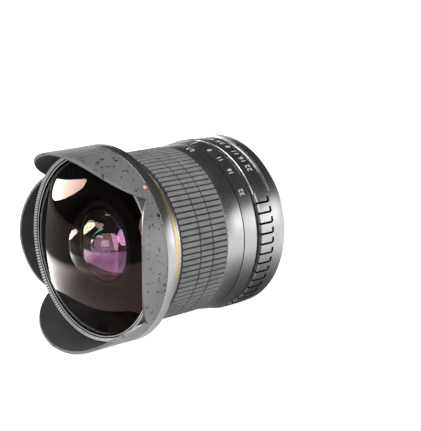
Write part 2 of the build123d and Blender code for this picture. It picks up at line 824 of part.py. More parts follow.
# Carrier of the focusing group: skirt, slotted web and long glass cell
with BuildPart() as rear_group_carrier:
    carrier_points = [
        (cell_bore, cell_rear),
        (cell_radius, cell_rear),
        (cell_radius, web_rear),
        (skirt_bore, web_rear),
        (skirt_bore, skirt_rear),
        (skirt_radius, skirt_rear),
        (skirt_radius, web_front),
        (cell_radius, web_front),
        (cell_radius, cell_front),
        (cell_clear_radius + clear_margin, cell_front),
        (cell_clear_radius + clear_margin, glass_seat),
        (cell_bore, glass_seat),
    ]
    revolve(turned_outline(carrier_points), axis=Axis.Y)
    with BuildSketch(front_plane(skirt_rear)):
        slot_sweep = width_angle(guide_key_width + 2 * run_gap, skirt_radius)
        with PolarLocations(0, guide_key_count):
            slot_start = guide_key_angle - slot_sweep / 2
            add(sector(skirt_bore - overrun, skirt_radius + overrun, slot_start, slot_sweep))
    extrude(amount=skirt_slot_length, mode=Mode.SUBTRACT)
    with BuildSketch(front_plane(web_rear)):
        start, sweep = ring_sweep(link_angle, link_width, link_radius)
        add(sector(link_radius - seat_gap, link_radius + link_thickness + seat_gap, start, sweep))
        start, sweep = ring_sweep(lever_clock, lever_width, lever_radius)
        lever_slot_outer = lever_radius + lever_thickness + seat_gap
        add(sector((cell_radius + lever_radius) / 2, lever_slot_outer, start, sweep))
    extrude(amount=web_thickness, mode=Mode.SUBTRACT)
keep(rear_group_carrier, "rear_group_carrier")

# Front barrel: socket on the tube, groove of the colour ring, flare and bayonet nose
lug_station = hood_rear + hood_lug_setback
lug_inner = hood_bore - hood_lug_height
with BuildPart() as front_barrel:
    with BuildSketch(Plane.XY):
        with BuildLine():
            Polyline(
                (flange_lip_radius, -flange_lip_rear),
                (flange_lip_radius - flange_lip_rise, -flare_front),
                (nose_radius, -flare_front),
                (nose_radius, -nose_front),
                (front_glass_radius + glass_gap, -nose_front),
                (front_glass_radius + glass_gap, -front_shelf),
                (cell_flange_radius + glass_gap, -front_shelf),
                (cell_flange_radius + glass_gap, -cell_seat),
                (tube_bore, -cell_seat),
                (tube_bore, -barrel_shoulder),
                (front_tube_radius, -barrel_shoulder),
                (front_tube_radius, -collar_rear),
                (collar_radius, -collar_rear),
                (collar_radius, -gold_rear),
                (collar_radius - gold_depth, -gold_rear),
                (collar_radius - gold_depth, -gold_front),
                (flare_start_radius, -gold_front),
            )
            flare_middle = (flare_mid_radius, -gold_front - flare_mid_length)
            flare_end = (flange_lip_radius, -flange_lip_rear)
            ThreePointArc((flare_start_radius, -gold_front), flare_middle, flare_end)
        make_face()
    revolve(axis=Axis.Y)
    lug_angle_play = width_angle(2 * hood_lug_play, nose_radius)
    with BuildSketch(front_plane(lug_station - hood_lug_play)):
        with PolarLocations(0, hood_lug_count):
            groove_start = hood_lug_angle - hood_turn - hood_lug_sweep / 2 - lug_angle_play
            groove_sweep = hood_turn + hood_lug_sweep + 2 * lug_angle_play
            add(sector(lug_inner - hood_lug_play, nose_radius + overrun, groove_start, groove_sweep))
    extrude(amount=hood_lug_length + 2 * hood_lug_play, mode=Mode.SUBTRACT)
    with BuildSketch(front_plane(lug_station)):
        with PolarLocations(0, hood_lug_count):
            entry_sweep = hood_lug_sweep + 2 * lug_angle_play
            add(sector(lug_inner - hood_lug_play, nose_radius + overrun, groove_start, entry_sweep))
    extrude(amount=nose_front - lug_station + overrun, mode=Mode.SUBTRACT)
keep(front_barrel, "front_barrel")

with BuildPart() as gold_ring:
    with BuildSketch(front_plane(gold_rear)):
        Circle(collar_radius + gold_proud)
        Circle(collar_radius - gold_depth, mode=Mode.SUBTRACT)
    extrude(amount=gold_width)
keep(gold_ring, "gold_ring")

# Petal hood: a thin tube cut to two tall and two short petals, with three lugs inside
hood_valley_station = hood_rear + hood_valley
hood_tip = hood_valley_station + main_petal_height


def petal_points(width_share, height_share, height):
    """Rim points of one petal, from its left valley over the tip to its right valley."""
    half = [(w * hood_radius, hood_valley_station + h * height) for w, h in zip(width_share, height_share)]
    left = [(-across, -station) for across, station in reversed(half[1:])]
    return left + [(across, -station) for across, station in half]


with BuildPart() as petal_envelope:
    for plane, width_share, height_share, height in (
        (Plane.XY, main_petal_width_share, main_petal_height_share, main_petal_height),
        (Plane.ZY, side_petal_width_share, side_petal_height_share, side_petal_height),
    ):
        rim = petal_points(width_share, height_share, height)
        left_foot = (rim[0][0], -hood_rear + overrun)
        right_foot = (rim[-1][0], -hood_rear + overrun)
        with BuildSketch(plane):
            with BuildLine():
                Spline(*rim)
                Polyline(rim[-1], right_foot, left_foot, rim[0])
            make_face()
        extrude(amount=hood_radius + overrun, both=True)

with BuildPart() as petal_hood:
    hood_points = [
        (hood_bore, hood_rear),
        (hood_rear_radius, hood_rear),
        (hood_radius, hood_valley_station),
        (hood_radius, hood_tip + overrun),
        (hood_bore, hood_tip + overrun),
    ]
    revolve(turned_outline(hood_points), axis=Axis.Y)
    add(petal_envelope.part, mode=Mode.INTERSECT)
    with BuildSketch(front_plane(lug_station)):
        with PolarLocations(0, hood_lug_count):
            lug_start = hood_lug_angle - hood_lug_sweep / 2
            add(sector(lug_inner, hood_bore + hood_wall / 2, lug_start, hood_lug_sweep))
    extrude(amount=hood_lug_length)
keep(petal_hood, "petal_hood")

# Front element, the large meniscus dome, and the ring that holds it
with BuildPart() as front_element:
    dome = (front_glass_clear, front_dome_curve_share)
    bowl = (front_bowl_radius, front_bowl_curve_share)
    revolve(glass_outline(front_glass_radius, front_glass_front, front_shelf, dome, bowl), axis=Axis.Y)
keep(front_element, "front_element")

lip_top = front_glass_front + front_ring_lip
lip_outer = front_glass_clear + clear_margin + front_ring_lip_width
cone_inner = lip_outer + front_ring_groove_width
with BuildPart() as front_retaining_ring:
    ring_face = [
        (front_glass_radius + glass_gap, nose_front),
        (front_ring_radius, nose_front),
        (front_ring_radius, nose_front + front_ring_height),
        (cone_inner, lip_top),
        (cone_inner, lip_top - front_ring_groove_depth),
        (lip_outer, lip_top - front_ring_groove_depth),
        (lip_outer, lip_top),
        (front_glass_clear + clear_margin, lip_top),
        (front_glass_clear + clear_margin, front_glass_front),
        (front_glass_radius + glass_gap, front_glass_front),
    ]
    revolve(turned_outline(ring_face), axis=Axis.Y)
keep(front_retaining_ring, "front_retaining_ring")

# Front cell, which holds the second to fourth elements and carries the iris
second_ring_front = second_glass_front + second_ring_length
with BuildPart() as front_group_cell:
    cell_points = [
        (front_cell_mouth, front_shelf),
        (cell_flange_radius, front_shelf),
        (cell_flange_radius, cell_seat),
        (front_cell_radius, cell_seat),
        (front_cell_radius, barrel_shoulder),
        (front_cell_tail_radius, second_glass_rear - second_shoulder_length),
        (front_cell_tail_radius, front_cell_rear),
        (third_glass_radius + glass_gap, front_cell_rear),
        (third_glass_radius + glass_gap, third_glass_front),
        (third_glass_clear + clear_margin, third_glass_front),
        (third_glass_clear + clear_margin, inner_lip_front),
        (second_bowl_radius + clear_margin, second_glass_rear),
        (second_glass_radius + glass_gap, second_glass_rear),
        (second_glass_radius + glass_gap, second_glass_front),
        (second_ring_radius, second_glass_front),
        (second_ring_radius, second_ring_front),
    ]
    revolve(turned_outline(cell_points), axis=Axis.Y)
    with BuildSketch(front_plane(front_cell_rear)):
        with PolarLocations(iris_screw_circle, iris_screw_count, iris_screw_angle):
            Circle(iris_screw_shank_radius)
    extrude(amount=iris_screw_length - plate_thickness, mode=Mode.SUBTRACT)
keep(front_group_cell, "front_group_cell")

with BuildPart() as second_element:
    dome = (second_glass_clear, second_dome_curve_share)
    bowl = (second_bowl_radius, second_bowl_curve_share)
    face = glass_outline(second_glass_radius, second_glass_front, second_glass_rear, dome, bowl)
    revolve(face, axis=Axis.Y)
keep(second_element, "second_element")

with BuildPart() as second_element_ring:
    with BuildSketch(front_plane(second_glass_front)):
        Circle(second_ring_radius)
        Circle(second_glass_clear + clear_margin, mode=Mode.SUBTRACT)
    extrude(amount=second_ring_length)
keep(second_element_ring, "second_element_ring")

with BuildPart() as third_element:
    front_side = (third_glass_clear, third_front_curve_share)
    rear_side = (third_glass_clear, -front_doublet_curve_share)
    face = glass_outline(third_glass_radius, third_glass_front, third_glass_rear, front_side, rear_side)
    revolve(face, axis=Axis.Y)
keep(third_element, "third_element")

with BuildPart() as fourth_element:
    front_side = (third_glass_clear, front_doublet_curve_share)
    rear_side = (third_glass_clear, fourth_rear_curve_share)
    face = glass_outline(third_glass_radius, fourth_glass_front, fourth_glass_rear, front_side, rear_side)
    revolve(face, axis=Axis.Y)
keep(fourth_element, "fourth_element")

with BuildPart() as front_doublet_ring:
    with BuildSketch(front_plane(doublet_ring_rear)):
        Circle(third_glass_radius)
        Circle(third_glass_clear + clear_margin, mode=Mode.SUBTRACT)
    extrude(amount=doublet_ring_length)
keep(front_doublet_ring, "front_doublet_ring")

# Iris housing: base plate with pivot holes, wall open where the fork swings
fork_outer = link_radius + link_thickness + fork_wall
fork_width = link_width + 2 * (fork_wall + run_gap)
with BuildPart() as iris_housing:
    housing_points = [
        (iris_open_radius, plate_rear),
        (iris_open_radius, plate_front),
        (plate_radius, plate_front),
        (plate_radius, plate_rear),
        (housing_radius, plate_rear),
        (housing_radius, housing_rear),
        (housing_bore, housing_rear),
        (housing_bore, snap_ring_rear),
        (housing_bore + snap_ring_bite, snap_ring_rear),
        (housing_bore + snap_ring_bite, snap_ring_front),
        (housing_bore, snap_ring_front),
        (housing_bore, plate_rear),
    ]
    revolve(turned_outline(housing_points), axis=Axis.Y)
    with BuildSketch(front_plane(plate_rear)):
        with PolarLocations(blade_pivot_circle, blade_count):
            Circle(blade_pin_radius + pin_gap)
    extrude(amount=plate_pin_depth, mode=Mode.SUBTRACT)
    with BuildSketch(front_plane(plate_rear)):
        with PolarLocations(iris_screw_circle, iris_screw_count, iris_screw_angle):
            Circle(iris_screw_shank_radius)
    extrude(amount=plate_thickness, mode=Mode.SUBTRACT)
    with BuildSketch(front_plane(housing_rear)):
        start, sweep = ring_sweep(link_angle, fork_width, housing_bore)
        add(sector(cam_ring_radius, plate_radius, start, sweep))
    extrude(amount=cam_ring_front + pin_gap - housing_rear, mode=Mode.SUBTRACT)
keep(iris_housing, "iris_housing")

with BuildPart() as iris_screws:
    with BuildSketch(front_plane(plate_rear - iris_screw_head_height)):
        with PolarLocations(iris_screw_circle, iris_screw_count, iris_screw_angle):
            Circle(iris_screw_head_radius)
    extrude(amount=iris_screw_head_height)
    with BuildSketch(front_plane(plate_rear)):
        with PolarLocations(iris_screw_circle, iris_screw_count, iris_screw_angle):
            Circle(iris_screw_shank_radius)
    extrude(amount=iris_screw_length)
keep(iris_screws, "iris_screws")

with BuildPart() as iris_snap_ring:
    snap_ring_radius = housing_bore + snap_ring_bite
    with BuildSketch(front_plane(snap_ring_rear)):
        Circle(snap_ring_radius)
        Circle(snap_ring_radius - snap_ring_width, mode=Mode.SUBTRACT)
        start, sweep = ring_sweep(link_angle, fork_width, housing_bore)
        add(sector(cell_bore, plate_radius, start, sweep), mode=Mode.SUBTRACT)
    extrude(amount=snap_ring_thickness)
keep(iris_snap_ring, "iris_snap_ring")

# Iris blades, each in its own layer, shown a third of a stop closed
for number in range(blade_count):
    blade_front = plate_rear - pin_gap / 2 - number * blade_layer_height
    blade_rear = blade_front - blade_thickness
    pivot_turn = number * blade_step
    pivot_angle = math.radians(pivot_turn)
    pivot = (blade_pivot_circle * math.cos(pivot_angle), blade_pivot_circle * math.sin(pivot_angle))
    # Blade plane: origin at the pivot, x away from the axis, turned by the blade's swing
    blade_plane = front_plane(blade_rear).location * Pos(*pivot) * Rot(Z=pivot_turn + blade_rest)
    with BuildPart() as iris_blade:
        with BuildSketch(Plane(blade_plane)):
            with BuildLine():
                centre = (-blade_pivot_circle, 0)
                inner_edge = CenterArc(centre, iris_open_radius, 0, blade_sweep)
                outer_edge = CenterArc(centre, blade_outer_radius, 0, blade_sweep)
                Line(inner_edge @ 0, outer_edge @ 0)
                Line(inner_edge @ 1, outer_edge @ 1)
            make_face()
            Circle(blade_pivot_boss)
            with Locations((0, -blade_arm / 2)):
                SlotCenterToCenter(blade_arm, 2 * blade_ear, rotation=quarter_turn)
        extrude(amount=blade_thickness)
        with BuildSketch(Plane(blade_plane).offset(blade_thickness)):
            Circle(blade_pin_radius)
        extrude(amount=plate_rear + plate_pin_depth - pin_gap - blade_front)
        with BuildSketch(Plane(blade_plane)):
            with Locations((0, -blade_arm)):
                Circle(blade_pin_radius)
        extrude(amount=-(blade_rear - cam_ring_rear))
    keep(iris_blade, f"iris_blade_{number + 1}")

# Cam ring with six spiral slots and the fork that the link turns
with BuildPart() as iris_cam_ring:
    fork_sweep = width_angle(fork_width, link_radius)
    finger_sweep = width_angle(link_width + 2 * run_gap, link_radius)
    with BuildSketch(front_plane(cam_ring_rear)):
        Circle(cam_ring_radius)
        add(sector(cam_ring_bore, fork_outer, link_angle - fork_sweep / 2, fork_sweep))
        Circle(cam_ring_bore, mode=Mode.SUBTRACT)
        notch_start = link_angle - finger_sweep / 2
        notch = sector(link_radius - seat_gap, fork_outer + overrun, notch_start, finger_sweep)
        add(notch, mode=Mode.SUBTRACT)
    extrude(amount=cam_ring_thickness)
    for number in range(blade_count):
        slot_points = []
        for swing in (0, blade_swing / 2, blade_swing):
            angle, radius = cam_place(swing)
            turn = math.radians(angle + number * blade_step)
            slot_points.append((radius * math.cos(turn), radius * math.sin(turn)))
        with BuildLine() as slot_path:
            ThreePointArc(*slot_points)
        with BuildSketch(front_plane(cam_ring_rear)):
            SlotArc(slot_path.edges()[0], 2 * (blade_pin_radius + pin_gap))
        extrude(amount=cam_ring_thickness, mode=Mode.SUBTRACT)
keep(iris_cam_ring, "iris_cam_ring")

# Stop-down lever: a long blade from the cam ring through the rear of the lens
with BuildPart() as stop_down_lever:
    lever_sweep = width_angle(lever_width, lever_radius)
    lever_start = lever_clock - lever_sweep / 2
    with BuildSketch(front_plane(-lever_overhang)):
        add(sector(lever_radius, lever_radius + lever_thickness, lever_start, lever_sweep))
    extrude(amount=cam_ring_rear + lever_overhang)
    with BuildSketch(front_plane(-lever_overhang)):
        add(sector(lever_radius, hook_radius, lever_start, lever_sweep))
    extrude(amount=lever_hook_thickness)
keep(stop_down_lever, "stop_down_lever")
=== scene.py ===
"""Dress of a full-length fisheye lens with a petal hood.

Sizes in the classes are millimetres. A station is a distance ahead of the mount's seat
face, so a station d lies at y = -d, and a clock angle runs from the top towards +X.
"""

import json
import logging
import math
from dataclasses import dataclass
from enum import Enum
from typing import Any, Callable, Sequence

import bmesh
import bpy
from mathutils import Matrix, Vector

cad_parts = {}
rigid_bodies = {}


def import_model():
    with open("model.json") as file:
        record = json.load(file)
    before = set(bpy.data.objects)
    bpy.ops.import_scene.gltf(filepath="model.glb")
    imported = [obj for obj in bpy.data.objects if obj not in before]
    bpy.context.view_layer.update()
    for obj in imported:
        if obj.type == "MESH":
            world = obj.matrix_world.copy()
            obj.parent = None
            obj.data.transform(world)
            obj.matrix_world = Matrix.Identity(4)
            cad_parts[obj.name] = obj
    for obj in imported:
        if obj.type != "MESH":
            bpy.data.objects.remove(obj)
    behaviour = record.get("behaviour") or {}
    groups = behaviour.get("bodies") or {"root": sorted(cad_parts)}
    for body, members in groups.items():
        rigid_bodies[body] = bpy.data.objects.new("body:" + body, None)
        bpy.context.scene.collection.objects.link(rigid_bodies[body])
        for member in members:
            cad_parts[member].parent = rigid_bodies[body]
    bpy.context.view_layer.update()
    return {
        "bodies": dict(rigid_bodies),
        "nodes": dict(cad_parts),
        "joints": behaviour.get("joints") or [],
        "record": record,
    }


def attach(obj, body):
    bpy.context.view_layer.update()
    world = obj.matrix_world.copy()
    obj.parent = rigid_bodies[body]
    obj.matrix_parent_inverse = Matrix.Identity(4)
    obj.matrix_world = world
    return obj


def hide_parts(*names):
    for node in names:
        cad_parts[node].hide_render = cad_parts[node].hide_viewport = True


MM = 0.001
FULL_TURN = math.tau
SMOOTH_SEGMENTS = 256
MERGE_DISTANCE = 1e-7
WEDGE_CREASE = math.radians(40.0)
NOISE_MIDDLE = (0.3, 0.7)

# A cutter runs past the surface that it cuts, and a raised form has its foot in the one below it.
OVERRUN = 1.0
SINK = 0.1

# Turn that lays a peg along the optical axis.
ALONG_AXIS = (90.0, "X")

log = logging.getLogger("fisheye_lens")

Outline = Sequence[tuple[float, float]]
Colour = tuple[float, float, float]
Law = tuple[float, float, float, float]


# Finishes


class Nodes:
    """A node tree under construction, with short calls for its nodes."""

    def __init__(self, tree: bpy.types.NodeTree) -> None:
        """Work on a tree.

        Args:
            tree: Node tree of a material or a world.
        """
        self.tree = tree

    def node(self, kind: str, **inputs: Any) -> bpy.types.Node:
        """Add a node and set or link its inputs.

        Args:
            kind: Node type without the ShaderNode prefix.
            inputs: Values or sockets by input name, with _ for a blank.

        Returns:
            The new node.
        """
        made = self.tree.nodes.new("ShaderNode" + kind)
        for name, value in inputs.items():
            self.feed(made.inputs[name.replace("_", " ")], value)
        return made

    def feed(self, socket: bpy.types.NodeSocket, value: Any) -> None:
        """Link a socket to an input, or set its value.

        Args:
            socket: Input socket.
            value: Output socket, number or tuple.
        """
        if isinstance(value, bpy.types.NodeSocket):
            self.tree.links.new(value, socket)
        elif isinstance(value, tuple) and len(value) == 3 and socket.type == "RGBA":
            socket.default_value = (*value, 1.0)
        else:
            socket.default_value = value

    def spread(self, value: bpy.types.NodeSocket, law: Law, eased: bool = False) -> bpy.types.NodeSocket:
        """Spread a range of values over another.

        Args:
            value: Value to spread.
            law: Lowest and highest value, then what each of them becomes.
            eased: Whether the ends are eased.

        Returns:
            The spread value.
        """
        ramp = self.node("MapRange", Value=value)
        if eased:
            ramp.interpolation_type = "SMOOTHSTEP"
        for name, number in zip(("From Min", "From Max", "To Min", "To Max"), law):
            ramp.inputs[name].default_value = number
        return ramp.outputs["Result"]

    def mix(self, factor: bpy.types.NodeSocket, first: Any, second: Any) -> bpy.types.NodeSocket:
        """Mix two colours.

        Args:
            factor: Share of the second colour.
            first: First colour or socket.
            second: Second colour or socket.

        Returns:
            The mixed colour.
        """
        mixer = self.tree.nodes.new("ShaderNodeMix")
        mixer.data_type = "RGBA"
        self.feed(mixer.inputs["Factor"], factor)
        self.feed(mixer.inputs["A"], first)
        self.feed(mixer.inputs["B"], second)
        return mixer.outputs["Result"]

    def maths(self, operation: str, first: Any, second: Any) -> bpy.types.NodeSocket:
        """Work out a value from two others.

        Args:
            operation: Operation of the Math node.
            first: First value or socket.
            second: Second value or socket.

        Returns:
            The result.
        """
        made = self.node("Math")
        made.operation = operation
        self.feed(made.inputs[0], first)
        self.feed(made.inputs[1], second)
        return made.outputs[0]


class Bench(Nodes):
    """A material under construction, with its Principled shader and the piece's Object coordinates."""

    def __init__(self, name: str) -> None:
        """Start a material.

        Args:
            name: Name of the material.
        """
        self.material = bpy.data.materials.new(name)
        self.material.use_nodes = True
        super().__init__(self.material.node_tree)
        self.shader = self.tree.nodes["Principled BSDF"]
        self.place = self.tree.nodes.new("ShaderNodeTexCoord").outputs["Object"]

    def set(self, **inputs: Any) -> None:
        """Set or link inputs of the Principled shader, with _ for a blank."""
        for name, value in inputs.items():
            self.feed(self.shader.inputs[name.replace("_", " ")], value)

    def noise(self, scale: float, detail: float, stretch: Colour = (1.0, 1.0, 1.0)) -> bpy.types.NodeSocket:
        """Noise on the piece.

        Args:
            scale: Cells per metre.
            detail: Octaves.
            stretch: Factor on each axis before the noise.

        Returns:
            The noise factor.
        """
        mapping = self.node("Mapping", Vector=self.place, Scale=stretch)
        return self.node("TexNoise", Vector=mapping.outputs[0], Scale=scale, Detail=detail).outputs["Fac"]

    def between(self, factor: bpy.types.NodeSocket, low: float, high: float) -> bpy.types.NodeSocket:
        """Spread the middle of a noise over a range of values.

        Args:
            factor: Noise factor.
            low: Value where the noise is low.
            high: Value where it is high.

        Returns:
            The spread value.
        """
        return self.spread(factor, (*NOISE_MIDDLE, low, high))

    def tones(
        self, factor: bpy.types.NodeSocket, colour: Colour, dark: float, light: float,
    ) -> bpy.types.NodeSocket:
        """Let a noise shade a colour.

        Args:
            factor: Noise factor.
            colour: The colour.
            dark: Factor on the colour where the noise is low.
            light: Factor where it is high.

        Returns:
            The shaded colour.
        """
        return self.mix(self.between(factor, 0.0, 1.0), shade(colour, dark), shade(colour, light))

    def distance(self, middle: tuple[float, float]) -> bpy.types.NodeSocket:
        """Distance from an upright line.

        Args:
            middle: Where the line stands, in metres.

        Returns:
            The distance.
        """
        offset = self.node("Mapping", Vector=self.place, Location=(-middle[0], -middle[1], 0.0))
        length = self.node("VectorMath", Vector=offset.outputs[0])
        length.operation = "LENGTH"
        return length.outputs["Value"]

    def bump(self, height: bpy.types.NodeSocket, strength: float, depth: float) -> None:
        """Give the shader a bump.

        Args:
            height: Height socket.
            strength: Strength from 0 to 1.
            depth: Depth of the relief in metres.
        """
        relief = self.node("Bump", Strength=strength, Distance=depth, Height=height)
        self.set(Normal=relief.outputs["Normal"])


def shade(colour: Colour, factor: float) -> Colour:
    """Colour made darker or lighter by a factor."""
    return (colour[0] * factor, colour[1] * factor, colour[2] * factor)


@dataclass(frozen=True)
class Lacquer:
    """Sprayed lacquer or anodising on metal, with a fine grain."""

    name: str
    colour: Colour
    roughness: float
    grain: float = 9000.0
    grain_depth: float = 0.000012
    mottle: float = 0.18
    specular: float = 0.5
    metallic: float = 0.0
    speckle: float = 0.0
    cloud_scale: float = 90.0
    fleck_share: float = 0.35
    fleck_light: float = 1.9
    pit_scale: float = 620.0
    pit_edge: tuple[float, float] = (0.63, 0.66)
    gloss_change: float = 0.12
    grain_strength: float = 0.5

    def material(self) -> bpy.types.Material:
        """Build the lacquer's material.

        Returns:
            The material.
        """
        bench = Bench(self.name)
        cloud = bench.noise(self.cloud_scale, detail=4.0)
        grain = bench.noise(self.grain, detail=2.0)
        tone = bench.tones(cloud, self.colour, 1 - self.mottle, 1 + self.mottle)
        light = shade(self.colour, self.fleck_light)
        fleck = bench.mix(bench.between(grain, 0.0, self.fleck_share), tone, light)
        if self.speckle:
            pits = bench.noise(self.pit_scale, detail=2.0)
            share = bench.spread(pits, (*self.pit_edge, 0.0, self.speckle))
            fleck = bench.mix(share, fleck, (0.0, 0.0, 0.0))
        bench.set(Base_Color=fleck, Specular_IOR_Level=self.specular, Metallic=self.metallic)
        low, high = (self.roughness * (1 + side * self.gloss_change) for side in (-1, 1))
        bench.set(Roughness=bench.between(cloud, low, high))
        bench.bump(grain, self.grain_strength, self.grain_depth)
        return bench.material


@dataclass(frozen=True)
class Rubber:
    """Moulded rubber with a dusty matte skin."""

    name: str
    colour: Colour
    dust_scale: float = 160.0
    dust_tones: tuple[float, float] = (0.85, 1.2)
    skin_scale: float = 6000.0
    skin_gloss: tuple[float, float] = (0.5, 0.68)
    skin_strength: float = 0.6
    skin_depth: float = 0.00003
    specular: float = 0.35

    def material(self) -> bpy.types.Material:
        """Build the rubber's material.

        Returns:
            The material.
        """
        bench = Bench(self.name)
        dust = bench.noise(self.dust_scale, detail=5.0)
        skin = bench.noise(self.skin_scale, detail=3.0)
        tone = bench.tones(dust, self.colour, *self.dust_tones)
        bench.set(Base_Color=tone, Specular_IOR_Level=self.specular)
        bench.set(Roughness=bench.between(skin, *self.skin_gloss))
        bench.bump(skin, self.skin_strength, self.skin_depth)
        return bench.material


@dataclass(frozen=True)
class TurnedMetal:
    """Bare or plated metal with fine lathe lines round the optical axis."""

    name: str
    colour: Colour
    roughness: float
    line_scale: float = 3500.0
    line_stretch: Colour = (0.03, 1.0, 0.03)
    line_strength: float = 0.35
    line_depth: float = 0.000008
    line_gloss: tuple[float, float] = (0.75, 1.3)
    cloud_scale: float = 120.0
    cloud_dark: float = 0.86

    def material(self) -> bpy.types.Material:
        """Build the metal's material.

        Returns:
            The material.
        """
        bench = Bench(self.name)
        lines = bench.noise(self.line_scale, detail=3.0, stretch=self.line_stretch)
        cloud = bench.noise(self.cloud_scale, detail=4.0)
        bench.set(Base_Color=bench.tones(cloud, self.colour, self.cloud_dark, 1.0), Metallic=1.0)
        low, high = (self.roughness * factor for factor in self.line_gloss)
        bench.set(Roughness=bench.between(lines, low, high))
        bench.bump(lines, self.line_strength, self.line_depth)
        return bench.material


@dataclass(frozen=True)
class CoatedGlass:
    """Optical glass whose coating tints what it reflects, in two tints where it has a second one."""

    name: str
    reflection: Colour
    index: float
    specular: float
    body: Colour = (0.93, 0.95, 0.96)
    second_reflection: Colour | None = None
    change_width: float = 0.01
    change_place: float = 0.0
    breath_scale: float = 70.0
    breath_dark: float = 0.98
    breath_gloss: float = 0.006

    def material(self) -> bpy.types.Material:
        """Build the glass's material.

        Returns:
            The material.
        """
        bench = Bench(self.name)
        breath = bench.noise(self.breath_scale, detail=3.0)
        tone = bench.tones(breath, self.body, self.breath_dark, 1.0)
        bench.set(Base_Color=tone, Transmission_Weight=1.0, IOR=self.index)
        bench.set(Specular_Tint=self.reflection, Specular_IOR_Level=self.specular)
        if self.second_reflection:
            axes = bench.node("SeparateXYZ", Vector=bench.place).outputs
            across = bench.maths("SUBTRACT", axes["X"], axes["Z"])
            start, end = (self.change_place + side * self.change_width for side in (-1, 1))
            share = bench.spread(across, (start, end, 0.0, 1.0))
            bench.set(Specular_Tint=bench.mix(share, self.reflection, self.second_reflection))
        bench.set(Roughness=bench.between(breath, 0.0, self.breath_gloss))
        return bench.material


@dataclass(frozen=True)
class Paint:
    """Opaque paint filled into an engraved mark."""

    name: str
    colour: Colour
    grain_scale: float = 2500.0
    grain_dark: float = 0.82
    grain_gloss: tuple[float, float] = (0.45, 0.65)
    grain_strength: float = 0.4
    grain_depth: float = 0.00001
    specular: float = 0.3

    def material(self) -> bpy.types.Material:
        """Build the paint's material.

        Returns:
            The material.
        """
        bench = Bench(self.name)
        grain = bench.noise(self.grain_scale, detail=3.0)
        tone = bench.tones(grain, self.colour, self.grain_dark, 1.0)
        bench.set(Base_Color=tone, Specular_IOR_Level=self.specular)
        bench.set(Roughness=bench.between(grain, *self.grain_gloss))
        bench.bump(grain, self.grain_strength, self.grain_depth)
        return bench.material


class Finish(Enum):
    """The finishes of the lens, by the surface they belong to."""

    BARREL = Lacquer(
        "barrel_black", (0.45, 0.45, 0.46), 0.28, grain_depth=0.000003, mottle=0.06, metallic=1.0,
    )
    APERTURE = Lacquer(
        "aperture_ring_black", (0.45, 0.45, 0.46), 0.28, grain_depth=0.000003, mottle=0.06, metallic=1.0,
    )
    HOOD = Lacquer(
        "hood_satin_grey", (0.135, 0.135, 0.138), 0.29, grain=5200.0, grain_depth=0.00004, specular=0.9,
        speckle=0.95,
    )
    HOOD_INSIDE = Lacquer("hood_inner_black", (0.026, 0.026, 0.027), 0.5, grain=7000.0, specular=0.5)
    NAME_RING = Lacquer("front_ring_grey", (0.07, 0.07, 0.07), 0.35, mottle=0.06)
    RIB_GREY = Lacquer("front_rib_grey", (0.46, 0.46, 0.465), 0.35, mottle=0.06)
    INNER_BLACK = Lacquer("inner_matte_black", (0.006, 0.006, 0.006), 0.7, specular=0.2)
    # Near-black for the ground edges of the glass and the front ring's groove and inner edge, and painted
    # shade in the aperture ring's slots and pockets.
    BLACK_EDGE_AND_SLOT_SHADE = Lacquer("black_edge_and_slot_shade", (0.002, 0.002, 0.002), 0.8, specular=0.05)
    RUBBER = Rubber("grip_rubber", (0.175, 0.175, 0.18))
    # Darker rubber on the grip's floor between the bars: painted shade in the grooves.
    SHADED_GROOVE_RUBBER = Rubber("groove_rubber_painted_shade", (0.03, 0.03, 0.031))
    GOLD = TurnedMetal("gold_line", (0.85, 0.62, 0.26), 0.36)
    CHROME = TurnedMetal("mount_chrome", (0.72, 0.72, 0.71), 0.22)
    STEEL = TurnedMetal("screw_steel", (0.56, 0.56, 0.57), 0.3)
    BLADE = TurnedMetal("blade_steel", (0.10, 0.10, 0.105), 0.42)
    BRASS = TurnedMetal("helicoid_brass", (0.72, 0.53, 0.25), 0.28)
    FRONT_GLASS = CoatedGlass("front_glass", (1.0, 0.60, 0.54), index=1.52, specular=0.65)
    FRONT_REAR_GLASS = CoatedGlass("front_rear_coating", (4.2, 1.9, 2.9), index=1.52, specular=1.0)
    SECOND_GLASS = CoatedGlass(
        "second_glass", (0.8, 0.75, 0.42), index=2.0, specular=1.0, body=(0.80, 0.78, 0.82),
        second_reflection=(3.4, 1.1, 2.3),
    )
    INNER_GLASS = CoatedGlass(
        "inner_glass", (0.3, 2.0, 1.1), index=1.8, specular=1.0, body=(0.80, 0.70, 0.80),
        second_reflection=(4.2, 1.3, 2.7), change_width=0.003, change_place=-0.005,
    )
    WHITE = Paint("mark_white", (0.62, 0.62, 0.60))
    DOT = Paint("hood_dot", (0.85, 0.45, 0.30))


class Finishes:
    """Makes each finish's material once."""

    def __init__(self) -> None:
        """Start with no material made."""
        self.made: dict[Finish, bpy.types.Material] = {}

    def get(self, finish: Finish) -> bpy.types.Material:
        """Material of a finish, made when first asked for.

        Args:
            finish: The finish.

        Returns:
            Its material.
        """
        if finish not in self.made:
            self.made[finish] = finish.value.material()
        return self.made[finish]


# Shaping


def at(radius: float, station: float, clock: float = 0.0) -> Vector:
    """Point at a radius, station and clock angle, in metres."""
    turn = math.radians(clock)
    return Vector((radius * math.sin(turn), -station, radius * math.cos(turn))) * MM


def where(face: bpy.types.MeshPolygon) -> tuple[float, float]:
    """Radius and station of a face's middle."""
    return math.hypot(face.center.x, face.center.z) / MM, -face.center.y / MM


def outward(bm: bmesh.types.BMesh) -> None:
    """Merge doubles and turn every face outwards."""
    bmesh.ops.remove_doubles(bm, verts=bm.verts[:], dist=MERGE_DISTANCE)
    bmesh.ops.recalc_face_normals(bm, faces=bm.faces[:])


def block(inner: float, outer: float, rear: float, front: float) -> list[tuple[float, float]]:
    """Outline with four corners.

    Args:
        inner: Inner radius.
        outer: Outer radius.
        rear: Station of its rear side.
        front: Station of its front side.

    Returns:
        (radius, station) points.
    """
    return [(inner, rear), (outer, rear), (outer, front), (inner, front)]


